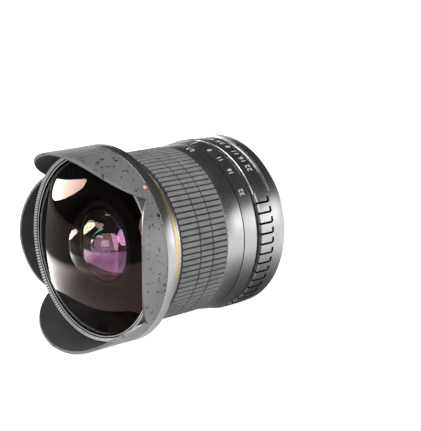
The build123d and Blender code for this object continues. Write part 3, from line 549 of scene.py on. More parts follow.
def wire(
    bm: bmesh.types.BMesh, outline: Outline, clock: float = 0.0,
) -> tuple[list[bmesh.types.BMVert], list[bmesh.types.BMEdge]]:
    """Lay a closed outline as a wire.

    Args:
        bm: Mesh that gets the wire.
        outline: (radius, station) points.
        clock: Clock angle of the wire.

    Returns:
        The wire's vertices and edges.
    """
    verts = [bm.verts.new(at(radius, station, clock)) for radius, station in outline]
    edges = [bm.edges.new(pair) for pair in zip(verts, verts[1:] + verts[:1])]
    return verts, edges


def brick(
    bm: bmesh.types.BMesh, middle: Vector, size: tuple[float, float, float], turn: float = 0.0,
) -> None:
    """Add a brick to a mesh.

    Args:
        bm: Mesh that gets the brick.
        middle: Its middle, in metres.
        size: Its sides along X, Y and Z.
        turn: Its turn about the direction of the optical axis, in degrees.
    """
    place = Matrix.Translation(middle) @ Matrix.Rotation(math.radians(turn), 4, "Y")
    sides = Matrix.Diagonal((*(side * MM for side in size), 1.0))
    bmesh.ops.create_cube(bm, size=1.0, matrix=place @ sides)


def peg(
    bm: bmesh.types.BMesh, middle: Vector, turn: tuple[float, str], radii: tuple[float, float],
    length: float, segments: int,
) -> None:
    """Add a round peg to a mesh.

    Args:
        bm: Mesh that gets the peg.
        middle: Its middle, in metres.
        turn: Degrees that it is turned from upright, and the axis of that turn.
        radii: Radius of its foot and of its head.
        length: Length of the peg.
        segments: Sides of the peg.
    """
    place = Matrix.Translation(middle) @ Matrix.Rotation(math.radians(turn[0]), 4, turn[1])
    bmesh.ops.create_cone(
        bm, cap_ends=True, cap_tris=False, segments=segments, radius1=radii[0] * MM, radius2=radii[1] * MM,
        depth=length * MM, matrix=place,
    )


def turned(outline: Outline, rounding: float = 0.0, segments: int = SMOOTH_SEGMENTS) -> bmesh.types.BMesh:
    """Turn a closed outline about the optical axis.

    Args:
        outline: (radius, station) points.
        rounding: Rounding of every corner.
        segments: Steps of the full turn.

    Returns:
        The turned solid.
    """
    bm = bmesh.new()
    verts, _ = wire(bm, outline)
    if rounding:
        bmesh.ops.bevel(
            bm, geom=verts, offset=rounding * MM, offset_type="OFFSET", segments=3, profile=0.5,
            affect="VERTICES", clamp_overlap=True, material=-1,
        )
    bmesh.ops.spin(
        bm, geom=bm.verts[:] + bm.edges[:], cent=(0, 0, 0), axis=(0, 1, 0), angle=FULL_TURN,
        steps=segments, use_merge=True, use_duplicate=False,
    )
    outward(bm)
    return bm


def wedge(
    outline: Outline, start: float, sweep: float, steps: int, rounding: float = 0.0,
) -> bmesh.types.BMesh:
    """Turn a closed outline through part of a turn, with both ends closed.

    Args:
        outline: (radius, station) points.
        start: Clock angle of the first end.
        sweep: Degrees from there on.
        steps: Steps of the turn.
        rounding: Rounding of the edges.

    Returns:
        The wedge.
    """
    bm = bmesh.new()
    verts, edges = wire(bm, outline, start)
    first = bm.faces.new(verts)
    bmesh.ops.spin(
        bm, geom=[*verts, *edges, first], cent=(0, 0, 0), axis=(0, 1, 0), angle=math.radians(sweep),
        steps=steps, use_merge=False, use_duplicate=False,
    )
    outward(bm)
    if rounding:
        sharp = [edge for edge in bm.edges if edge.is_manifold and edge.calc_face_angle() > WEDGE_CREASE]
        bmesh.ops.bevel(
            bm, geom=sharp, offset=rounding * MM, offset_type="OFFSET", segments=1, profile=0.5,
            affect="EDGES", clamp_overlap=True, material=-1,
        )
    return bm


def gather(parts: Sequence[bmesh.types.BMesh]) -> bmesh.types.BMesh:
    """Put several meshes into one.

    Args:
        parts: Meshes, freed here.

    Returns:
        The joint mesh.
    """
    whole = bmesh.new()
    for part in parts:
        spare = bpy.data.meshes.new("spare")
        part.to_mesh(spare)
        part.free()
        whole.from_mesh(spare)
        bpy.data.meshes.remove(spare)
    return whole


def repeated(unit: bmesh.types.BMesh, clocks: Sequence[float]) -> bmesh.types.BMesh:
    """Copy a shape round the optical axis.

    Args:
        unit: Shape at clock angle zero, which becomes the copies.
        clocks: Clock angle of each copy.

    Returns:
        All copies in one mesh.
    """
    pattern = unit.verts[:] + unit.edges[:] + unit.faces[:]
    for clock in clocks:
        copy = bmesh.ops.duplicate(unit, geom=pattern)["geom"]
        verts = [item for item in copy if isinstance(item, bmesh.types.BMVert)]
        turn = Matrix.Rotation(math.radians(clock), 3, "Y")
        bmesh.ops.rotate(unit, cent=(0, 0, 0), matrix=turn, verts=verts)
    old = [item for item in pattern if isinstance(item, bmesh.types.BMVert)]
    bmesh.ops.delete(unit, geom=old, context="VERTS")
    return unit


def lens_arc(radius_of_curve: float, clear: float, vertex: float, steps: int) -> list[tuple[float, float]]:
    """Points of a spherical face from the axis to its clear radius.

    Args:
        radius_of_curve: Its radius of curvature, positive where the face bulges forwards.
        clear: Radius of the face.
        vertex: Station of the face on the axis.
        steps: Steps of the arc.

    Returns:
        (radius, station) points.
    """
    points = []
    sphere = abs(radius_of_curve)
    reach = math.asin(clear / sphere)
    for step in range(steps + 1):
        angle = reach * step / steps
        drop = sphere * (1 - math.cos(angle))
        points.append((sphere * math.sin(angle), vertex - math.copysign(drop, radius_of_curve)))
    return points


class Workshop:
    """Turns meshes into finished pieces of the lens."""

    def __init__(self, finishes: Finishes) -> None:
        """Keep the finishes at hand.

        Args:
            finishes: Finishes to take materials from.
        """
        self.finishes = finishes

    def make(
        self, name: str, bm: bmesh.types.BMesh, finish: Finish, body: str,
        nodes: Sequence[str] = (), crease: float = 32.0,
    ) -> bpy.types.Object:
        """Finish a mesh as a piece that rides on a body.

        Args:
            name: Name of the piece.
            bm: Its mesh, freed here.
            finish: Its finish.
            body: Body that carries it.
            nodes: Nodes that it stands for.
            crease: Angle from which an edge stays sharp.

        Returns:
            The piece.
        """
        mesh = bpy.data.meshes.new(name)
        bm.to_mesh(mesh)
        bm.free()
        mesh.shade_smooth()
        mesh.set_sharp_from_angle(angle=math.radians(crease))
        mesh.materials.append(self.finishes.get(finish))
        piece = bpy.data.objects.new(name, mesh)
        bpy.context.scene.collection.objects.link(piece)
        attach(piece, body)
        if nodes:
            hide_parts(*nodes)
        log.info("piece %s: %d faces on %s", name, len(mesh.polygons), body)
        return piece

    def touch_up(
        self, piece: bpy.types.Object, finish: Finish, chosen: Callable[[bpy.types.MeshPolygon], bool],
    ) -> None:
        """Give some faces of a piece another finish.

        Args:
            piece: The piece.
            finish: Their finish.
            chosen: Tells whether a face gets it.
        """
        index = len(piece.data.materials)
        piece.data.materials.append(self.finishes.get(finish))
        for face in piece.data.polygons:
            if chosen(face):
                face.material_index = index

    def dress(self, frame: dict[str, Any], finish: Finish, *names: str) -> None:
        """Give nodes of the frame a finish.

        Args:
            frame: The loaded frame.
            finish: The finish.
            names: Names of the nodes.
        """
        for name in names:
            for slot in frame["nodes"][name].material_slots:
                slot.material = self.finishes.get(finish)
            log.info("node %s: %s", name, finish.name)


def carve(bm: bmesh.types.BMesh, cutter: bmesh.types.BMesh) -> bmesh.types.BMesh:
    """Cut one mesh out of another.

    Args:
        bm: Mesh to cut, freed here.
        cutter: Mesh that is taken away, freed here.

    Returns:
        What is left.
    """
    holders = []
    for source in (bm, cutter):
        mesh = bpy.data.meshes.new("carving")
        source.to_mesh(mesh)
        source.free()
        holder = bpy.data.objects.new("carving", mesh)
        bpy.context.scene.collection.objects.link(holder)
        holders.append(holder)
    cut = holders[0].modifiers.new("cut", "BOOLEAN")
    cut.operation = "DIFFERENCE"
    cut.solver = "EXACT"
    cut.object = holders[1]
    graph = bpy.context.evaluated_depsgraph_get()
    carved = bpy.data.meshes.new_from_object(holders[0].evaluated_get(graph))
    left = bmesh.new()
    left.from_mesh(carved)
    bpy.data.meshes.remove(carved)
    for holder in holders:
        mesh = holder.data
        bpy.data.objects.remove(holder)
        bpy.data.meshes.remove(mesh)
    return left


@dataclass
class Mark:
    """A number painted on a ring."""

    text: str
    clock: float
    station: float
    height: float
    size_for_height: float = 1.38
    proud: float = 0.05
    slice_width: float = 0.5
    slices: int = 6

    def build(self, radius: Callable[[float], float]) -> bmesh.types.BMesh:
        """Lay the mark on the ring, to be read from behind the lens.

        Args:
            radius: Surface radius at a station.

        Returns:
            The mark's mesh.
        """
        curve = bpy.data.curves.new("mark", "FONT")
        curve.body = self.text
        curve.size = self.height * self.size_for_height
        curve.align_x = "CENTER"
        curve.align_y = "CENTER"
        curve.resolution_u = 3
        holder = bpy.data.objects.new("mark", curve)
        bpy.context.scene.collection.objects.link(holder)
        graph = bpy.context.evaluated_depsgraph_get()
        mesh = bpy.data.meshes.new_from_object(holder.evaluated_get(graph))
        bm = bmesh.new()
        bm.from_mesh(mesh)
        bpy.data.objects.remove(holder)
        bpy.data.curves.remove(curve)
        bpy.data.meshes.remove(mesh)
        bmesh.ops.remove_doubles(bm, verts=bm.verts[:], dist=0.001)
        for cut in range(-self.slices, self.slices + 1):
            bmesh.ops.bisect_plane(
                bm, geom=bm.verts[:] + bm.edges[:] + bm.faces[:], plane_co=(cut * self.slice_width, 0, 0),
                plane_no=(1, 0, 0),
            )
        raised = bmesh.ops.extrude_face_region(bm, geom=bm.faces[:])["geom"]
        top = {item for item in raised if isinstance(item, bmesh.types.BMVert)}
        for vert in bm.verts:
            station = self.station + vert.co.y
            surface = radius(station)
            clock = self.clock - math.degrees(vert.co.x / surface)
            vert.co = at(surface + (self.proud if vert in top else -self.proud), station, clock)
        bmesh.ops.recalc_face_normals(bm, faces=bm.faces[:])
        return bm


# Sub-assemblies


@dataclass
class RearMount:
    """Chrome bayonet mount and its screws."""

    flange_radius: float = 30.6
    flange_front: float = 2.4
    boss_radius: float = 21.9
    boss_length: float = 5.6
    throat_radius: float = 19.0
    lug_radius: float = 23.5
    lug_count: int = 3
    lug_sweep: float = 52.0
    lug_near: float = -3.3
    lug_far: float = -4.8
    screw_circle: float = 25.2
    screw_radius: float = 1.5
    screw_clocks: tuple[float, ...] = (70.0, 358.0, 286.0, 214.0, 142.0)
    notch_circle: float = 27.9
    notch_clock: float = 95.0
    notch_radius: float = 1.6
    notch_depth: float = 1.3
    sink_play: float = 0.12
    sink_depth: float = 0.9
    head_play: float = 0.05
    head_rear: float = 0.06
    cross_bar: tuple[float, float, float] = (1.7, 1.0, 0.36)
    disc_segments: int = 28

    def build(self, shop: Workshop) -> None:
        """Make the mount and its screws.

        Args:
            shop: Maker of pieces.
        """
        plate = turned(
            [
                (self.throat_radius, -self.boss_length), (self.boss_radius, -self.boss_length),
                (self.boss_radius, 0.0), (self.flange_radius, 0.0),
                (self.flange_radius, self.flange_front), (self.throat_radius, self.flange_front),
            ],
            rounding=0.25,
        )
        sinks = bmesh.new()
        sink_radius = self.screw_radius + self.sink_play
        for clock in self.screw_clocks:
            self.disc(sinks, (self.screw_circle, clock), sink_radius, -OVERRUN, self.sink_depth)
        notch = (self.notch_circle, self.notch_clock)
        self.disc(sinks, notch, self.notch_radius, -OVERRUN, self.notch_depth)
        plate = carve(plate, sinks)
        outline = block(self.boss_radius - OVERRUN, self.lug_radius, self.lug_far, self.lug_near)
        starts = [360.0 * lug / self.lug_count - self.lug_sweep / 2 for lug in range(self.lug_count)]
        lugs = [wedge(outline, start, self.lug_sweep, steps=40, rounding=0.2) for start in starts]
        shop.make(
            "bayonet_plate", gather([plate, *lugs]), Finish.CHROME, "lens_body",
            ["bayonet_mount"],
        )
        heads = bmesh.new()
        head_radius = self.screw_radius - self.head_play
        for clock in self.screw_clocks:
            self.disc(heads, (self.screw_circle, clock), head_radius, self.head_rear, self.sink_depth)
        for turn in (0.0, 90.0):
            slots = bmesh.new()
            for clock in self.screw_clocks:
                brick(slots, at(self.screw_circle, 0.0, clock), self.cross_bar, clock + turn)
            heads = carve(heads, slots)
        shop.make("mount_screw_heads", heads, Finish.STEEL, "lens_body", ["mount_screws"])

    def disc(
        self, bm: bmesh.types.BMesh, place: tuple[float, float], radius: float, rear: float, front: float,
    ) -> None:
        """Add a disc that lies square to the optical axis.

        Args:
            bm: Mesh that gets the disc.
            place: Radius and clock angle of its centre.
            radius: Radius of the disc.
            rear: Station of its rear face.
            front: Station of its front face.
        """
        circle, clock = place
        middle = at(circle, (rear + front) / 2, clock)
        peg(bm, middle, ALONG_AXIS, (radius, radius), front - rear, self.disc_segments)


@dataclass
class IndexBarrel:
    """Fixed barrel with the flared index band between the two rings."""

    bore: float = 27.0
    rear_radius: float = 29.0
    rear: float = 2.4
    ring_front: float = 17.5
    recess_radius: float = 29.7
    band_back: float = 17.8
    band_back_radius: float = 31.2
    edge_station: float = 19.2
    edge_radius: float = 34.2
    band_front: float = 25.1
    band_front_radius: float = 33.4
    tube_radius: float = 29.4
    tube_front: float = 60.1
    line_rear: float = 20.0
    line_front: float = 24.5
    line_sweep: float = 0.7
    index_clock: float = 3.6
    scale_station: float = 22.3
    scale_height: float = 2.1
    line_proud: float = 0.04
    edge_rounding: float = 0.42
    link_slot: tuple[float, float, float, float] = (26.0, 30.2, 7.9, 9.9)
    link_arc: tuple[float, float] = (137.3, 49.9)
    key_slot: tuple[float, float, float, float] = (26.0, 30.4, 36.04, 39.64)
    key_arc: tuple[float, float] = (-80.8, 146.6)
    depth_scale: tuple[tuple[str, float], ...] = (("8", 15.0), ("11", 26.0), ("16", 38.0), ("22", 54.0))

    def band_radius(self, station: float) -> float:
        """Radius of the band's face at a station."""
        share = (station - self.edge_station) / (self.band_front - self.edge_station)
        return self.edge_radius + (self.band_front_radius - self.edge_radius) * share

    def build(self, shop: Workshop) -> None:
        """Make the barrel, its slots and its index marks.

        Args:
            shop: Maker of pieces.
        """
        outline = [
            (self.bore, self.rear), (self.rear_radius, self.rear), (self.rear_radius, self.ring_front),
            (self.recess_radius, self.ring_front), (self.recess_radius, self.band_back),
            (self.band_back_radius, self.band_back), (self.edge_radius, self.edge_station),
            (self.band_front_radius, self.band_front), (self.tube_radius, self.band_front),
            (self.tube_radius, self.tube_front), (self.bore, self.tube_front),
        ]
        link_slot = wedge(block(*self.link_slot), *self.link_arc, steps=24)
        key_slot = wedge(block(*self.key_slot), *self.key_arc, steps=60)
        barrel = carve(turned(self.rounded(outline)), gather([link_slot, key_slot]))
        shop.make("index_barrel", barrel, Finish.BARREL, "lens_body", ["fixed_barrel"])
        rear, front = self.line_rear, self.line_front
        low, high = self.band_radius(rear), self.band_radius(front)
        line = [
            (low + self.line_proud, rear), (high + self.line_proud, front), (high - SINK, front),
            (low - SINK, rear),
        ]
        marks = [wedge(line, self.index_clock - self.line_sweep / 2, self.line_sweep, steps=2)]
        for text, offset in self.depth_scale:
            for side in (-1, 1):
                mark = Mark(text, self.index_clock + side * offset, self.scale_station, self.scale_height)
                marks.append(mark.build(self.band_radius))
        shop.make("index_marks", gather(marks), Finish.WHITE, "lens_body")

    def rounded(self, outline: Outline) -> Outline:
        """Outline with the band's proud edge rounded off.

        Args:
            outline: Sharp outline.

        Returns:
            The outline with a rounded edge.
        """
        bm = bmesh.new()
        verts, _ = wire(bm, outline)
        edge = max(verts, key=lambda vert: vert.co.z)
        bmesh.ops.bevel(
            bm, geom=[edge], offset=self.edge_rounding * MM, offset_type="OFFSET", segments=6, profile=0.5,
            affect="VERTICES", clamp_overlap=True, material=-1,
        )
        start = bm.verts[:][0]
        walk = [start]
        previous = None
        while len(walk) < len(bm.verts):
            here = walk[-1]
            link = next(item for item in here.link_edges if item.other_vert(here) is not previous)
            walk.append(link.other_vert(here))
            previous = here
        points = [(vert.co.z / MM, -vert.co.y / MM) for vert in walk]
        bm.free()
        return points


@dataclass
class ApertureRing:
    """Click-stop ring with ribs, a lower number zone and painted numbers."""

    bore: float = 29.06
    rear: float = 4.4
    front: float = 17.2
    rear_radius: float = 34.5
    rib_radius: float = 34.8
    rib_rear: float = 10.6
    rear_slope: float = 1.0
    edge_rounding: float = 0.3
    zone_floor: float = 34.0
    zone_rear: float = 8.8
    zone_edge: float = 0.55
    zone_edge_steps: int = 4
    zone_slope: float = 0.6
    zone_start: float = -24.0
    zone_end: float = 60.5
    zone_margin: float = 1.0
    pitch: float = 360.0 / 54
    groove_width: float = 0.85
    groove_depth: float = 0.8
    groove_rounding: float = 0.49
    pocket_side: float = 1.7
    pocket_length: float = 1.1
    pocket_depth: float = 0.35
    slot_limits: tuple[float, float] = (0.1, 0.05)
    slot_ends: tuple[float, float] = (0.6, 0.35)
    stop_sets: tuple[tuple[float, ...], ...] = ((-2.5, 7.6, 15.2, 22.8, 30.4, 38.0), (0.0,))
    notch_clock: float = 228.0
    notch_station: float = 12.0
    notch_circle: float = 28.24
    notch_radius: float = 1.04
    numbers: tuple[tuple[str, float], ...] = (
        ("22", 41.6), ("16", 34.0), ("11", 26.4), ("8", 18.8), ("5.6", 11.2), ("4", 3.6), ("3.5", -1.0),
    )
    number_station: float = 12.6
    number_height: float = 2.5

    def build(self, shop: Workshop) -> None:
        """Make the ring and its numbers.

        Args:
            shop: Maker of pieces.
        """
        ring = turned(
            [
                (self.bore, self.rear), (self.rear_radius, self.rear),
                (self.rib_radius, self.rib_rear - self.rear_slope), (self.rib_radius, self.front),
                (self.bore, self.front),
            ],
            rounding=self.edge_rounding,
        )
        for cutter in (self.zone(), self.grooves(), self.pockets(), *map(self.notches, self.stop_sets)):
            ring = carve(ring, cutter)
        piece = shop.make(
            "click_ring", ring, Finish.APERTURE, "aperture_ring", ["aperture_ring"],
        )
        # Painted shade: the faces inside the grooves between the ribs and in the pockets are made
        # near-black.
        shop.touch_up(piece, Finish.BLACK_EDGE_AND_SLOT_SHADE, self.in_shaded_slot)
        marks = [Mark(text, clock, self.number_station, self.number_height) for text, clock in self.numbers]
        meshes = [mark.build(lambda station: self.zone_floor) for mark in marks]
        shop.make("click_ring_numbers", gather(meshes), Finish.WHITE, "aperture_ring")

    def in_shaded_slot(self, face: bpy.types.MeshPolygon) -> bool:
        """Whether a face lies inside a slot or a pocket, whose faces are painted near-black as shade.

        Args:
            face: Face of the ring.

        Returns:
            True inside one.
        """
        radius, station = where(face)
        clock = math.degrees(math.atan2(face.center.x, face.center.z))
        ribbed = not self.zone_start - self.zone_margin < clock < self.zone_end + self.zone_margin
        floor = self.rib_radius - self.groove_depth - self.slot_limits[0]
        sunk = floor < radius < self.rib_radius - self.slot_limits[1]
        along = self.rib_rear - self.slot_ends[0] < station < self.front - self.slot_ends[1]
        return ribbed and sunk and along

    def zone(self) -> bmesh.types.BMesh:
        """Cutter of the lower zone that carries the numbers, with a rounded front edge.

        Returns:
            The cutter.
        """
        outline = [
            (self.zone_floor, self.zone_rear),
            (self.rib_radius + OVERRUN, self.zone_rear - self.zone_slope),
            (self.rib_radius + OVERRUN, self.front + OVERRUN),
            (self.zone_floor - self.zone_edge, self.front + OVERRUN),
        ]
        for step in range(self.zone_edge_steps + 1):
            angle = math.pi / 2 * step / self.zone_edge_steps
            radius = self.zone_floor - self.zone_edge * (1 - math.sin(angle))
            outline.append((radius, self.front - self.zone_edge * (1 - math.cos(angle))))
        return wedge(outline, self.zone_start, self.zone_end - self.zone_start, steps=72)

    def grooves(self) -> bmesh.types.BMesh:
        """Cutters of the grooves between the ribs.

        Returns:
            All cutters in one mesh.
        """
        unit = bmesh.new()
        middle = at(self.rib_radius, (self.rib_rear + self.front) / 2 + OVERRUN)
        length = self.front - self.rib_rear + OVERRUN
        brick(unit, middle, (self.groove_width, length, 2 * self.groove_depth))
        uprights = [
            edge for edge in unit.edges
            if abs(edge.verts[0].co.z - edge.verts[1].co.z) > MM and edge.verts[0].co.y > middle.y
        ]
        rounding = self.groove_width * self.groove_rounding * MM
        bmesh.ops.bevel(
            unit, geom=uprights, offset=rounding, offset_type="OFFSET", segments=4, profile=0.5,
            affect="EDGES", clamp_overlap=True, material=-1,
        )
        return repeated(unit, self.groove_clocks())

    def pockets(self) -> bmesh.types.BMesh:
        """Cutters of the short pockets beside the rear end of each groove.

        Returns:
            All cutters in one mesh.
        """
        unit = bmesh.new()
        side = (self.pocket_side - self.groove_width / 2) / 2 - self.pocket_side
        middle = at(self.rib_radius, self.rib_rear + self.pocket_length / 2) + Vector((side * MM, 0.0, 0.0))
        width = self.pocket_side + self.groove_width / 2
        brick(unit, middle, (width, self.pocket_length, 2 * self.pocket_depth))
        return repeated(unit, self.groove_clocks())

    def notches(self, stops: tuple[float, ...]) -> bmesh.types.BMesh:
        """Cutters of the notches that the click ball springs into.

        Args:
            stops: Turns of the ring at which a notch stands over the ball, in degrees.

        Returns:
            All cutters in one mesh.
        """
        unit = bmesh.new()
        middle = at(self.notch_circle, self.notch_station)
        radii = (self.notch_radius, self.notch_radius)
        peg(unit, middle, ALONG_AXIS, radii, length=2 * self.notch_radius, segments=32)
        return repeated(unit, [self.notch_clock + stop for stop in stops])

    def groove_clocks(self) -> list[float]:
        """Clock angles of the grooves, in degrees."""
        count = round((360.0 - self.zone_end + self.zone_start) / self.pitch) - 1
        return [self.zone_end + self.pitch * (step + 1) for step in range(count)]


@dataclass
class FocusRing:
    """Focus sleeve with its distance band and the three-row rubber grip."""

    band_rear: float = 25.45
    band_rear_radius: float = 33.34
    grip_rear: float = 33.3
    band_front_radius: float = 32.45
    bore: float = 29.46
    sleeve_radius: float = 31.4
    sleeve_front: float = 55.8
    grip_radius: float = 33.0
    grip_front: float = 56.1
    rib_count: int = 92
    rib_bevel: float = 0.13
    groove_width: float = 0.62
    groove_depth: float = 0.7
    floor_margin: float = 0.02
    row_groove: float = 0.7
    row_shares: tuple[float, float] = (0.336, 0.611)
    mark_station: float = 28.2
    mark_height: float = 2.2
    distances: tuple[tuple[str, float], ...] = (("0.3", 11.0), ("0.5", -42.0), ("1", -12.0), ("3", -34.0))

    def band_radius(self, station: float) -> float:
        """Radius of the distance band at a station."""
        share = (station - self.band_rear) / (self.grip_rear - self.band_rear)
        return self.band_rear_radius + (self.band_front_radius - self.band_rear_radius) * share

    def build(self, shop: Workshop) -> None:
        """Make the sleeve, the grip and the distance numbers.

        Args:
            shop: Maker of pieces.
        """
        sleeve = turned(
            [
                (self.bore, self.band_rear), (self.band_rear_radius, self.band_rear),
                (self.band_front_radius, self.grip_rear), (self.sleeve_radius, self.grip_rear),
                (self.sleeve_radius, self.sleeve_front), (self.bore, self.sleeve_front),
            ],
            rounding=0.12,
        )
        shop.make("distance_sleeve", sleeve, Finish.BARREL, "focus_ring", ["focus_sleeve"])
        piece = shop.make(
            "grip_ribs", self.grip(), Finish.RUBBER, "focus_ring", ["rubber_grip"],
        )
        floor = self.grip_radius - self.groove_depth + self.floor_margin
        # The floor between the bars gets the darker rubber as painted shade.
        shop.touch_up(piece, Finish.SHADED_GROOVE_RUBBER, lambda face: where(face)[0] < floor)
        marks = [Mark(text, clock, self.mark_station, self.mark_height) for text, clock in self.distances]
        meshes = [mark.build(self.band_radius) for mark in marks]
        shop.make("distance_numbers", gather(meshes), Finish.WHITE, "focus_ring")

    def grip(self) -> bmesh.types.BMesh:
        """Base ring of the grip with three rows of bars.

        Returns:
            The grip.
        """
        floor = self.grip_radius - self.groove_depth
        base = turned(block(self.sleeve_radius, floor, self.grip_rear, self.grip_front))
        length = self.grip_front - self.grip_rear
        cuts = [self.grip_rear + share * length for share in self.row_shares]
        starts = [self.grip_rear, *(cut + self.row_groove / 2 for cut in cuts)]
        ends = [*(cut - self.row_groove / 2 for cut in cuts), self.grip_front]
        pitch = 360.0 / self.rib_count
        rib = pitch - math.degrees(self.groove_width / self.grip_radius)
        rows = []
        for start, end in zip(starts, ends):
            outline = block(floor - SINK, self.grip_radius, start, end)
            bar = wedge(outline, -rib / 2, rib, steps=1, rounding=self.rib_bevel)
            rows.append(repeated(bar, [pitch * (step + 0.5) for step in range(self.rib_count)]))
        return gather([base, *rows])


@dataclass
class FrontBarrel:
    """Collar, gold line, flare and the nose that carries the hood."""

    collar_rear: float = 56.5
    collar_radius: float = 32.35
    gold_rear: float = 57.8
    gold_front: float = 59.3
    gold_proud: float = 0.12
    flare_start: float = 32.7
    flare_mid: tuple[float, float] = (34.74, 61.91)
    lip_rear: float = 63.8
    lip_radius: float = 37.8
    flare_radius: float = 37.6
    flare_front: float = 67.6
    nose_radius: float = 36.34
    nose_front: float = 71.2
    bore: float = 31.93
    glass_bore: float = 34.23
    shelf: float = 67.0
    socket_radius: float = 29.4
    socket_front: float = 60.1
    groove_rear: float = 68.3
    groove_front: float = 70.1
    groove_radius: float = 35.1
    throat_radius: float = 27.0
    throat_front: float = 62.1
    gold_root: float = 0.6
    flare_steps: int = 16
    edge_rounding: float = 0.07
    gold_rounding: float = 0.2

    def build(self, shop: Workshop) -> None:
        """Make the barrel and its gold line.

        Args:
            shop: Maker of pieces.
        """
        root = self.collar_radius - self.gold_root
        outline = [
            (self.flare_radius, self.flare_front), (self.nose_radius, self.flare_front),
            (self.nose_radius, self.groove_rear), (self.groove_radius, self.groove_rear),
            (self.groove_radius, self.groove_front), (self.nose_radius, self.groove_front),
            (self.nose_radius, self.nose_front), (self.glass_bore, self.nose_front),
            (self.glass_bore, self.shelf), (self.bore, self.shelf), (self.bore, self.throat_front),
            (self.throat_radius, self.throat_front), (self.throat_radius, self.socket_front),
            (self.socket_radius, self.socket_front), (self.socket_radius, self.collar_rear),
            (self.collar_radius, self.collar_rear), (self.collar_radius, self.gold_rear),
            (root, self.gold_rear), (root, self.gold_front), (self.flare_start, self.gold_front),
            *self.flare(), (self.lip_radius, self.lip_rear),
        ]
        barrel = turned(outline, self.edge_rounding)
        shop.make("flared_front", barrel, Finish.BARREL, "lens_body", ["front_barrel"])
        top = self.collar_radius + self.gold_proud
        line = turned(block(root, top, self.gold_rear, self.gold_front), self.gold_rounding)
        shop.make("gold_line", line, Finish.GOLD, "lens_body", ["gold_ring"])

    def flare(self) -> list[tuple[float, float]]:
        """Inner points of the flare's hollow curve, between its two ends.

        Returns:
            (radius, station) points.
        """
        first = Vector((self.flare_start, self.gold_front))
        middle = Vector(self.flare_mid)
        last = Vector((self.lip_radius, self.lip_rear))
        points = []
        for step in range(1, self.flare_steps):
            share = step / self.flare_steps
            weights = ((1 - share) * (1 - 2 * share), 4 * share * (1 - share), share * (2 * share - 1))
            point = first * weights[0] + middle * weights[1] + last * weights[2]
            points.append((point.x, point.y))
        return points


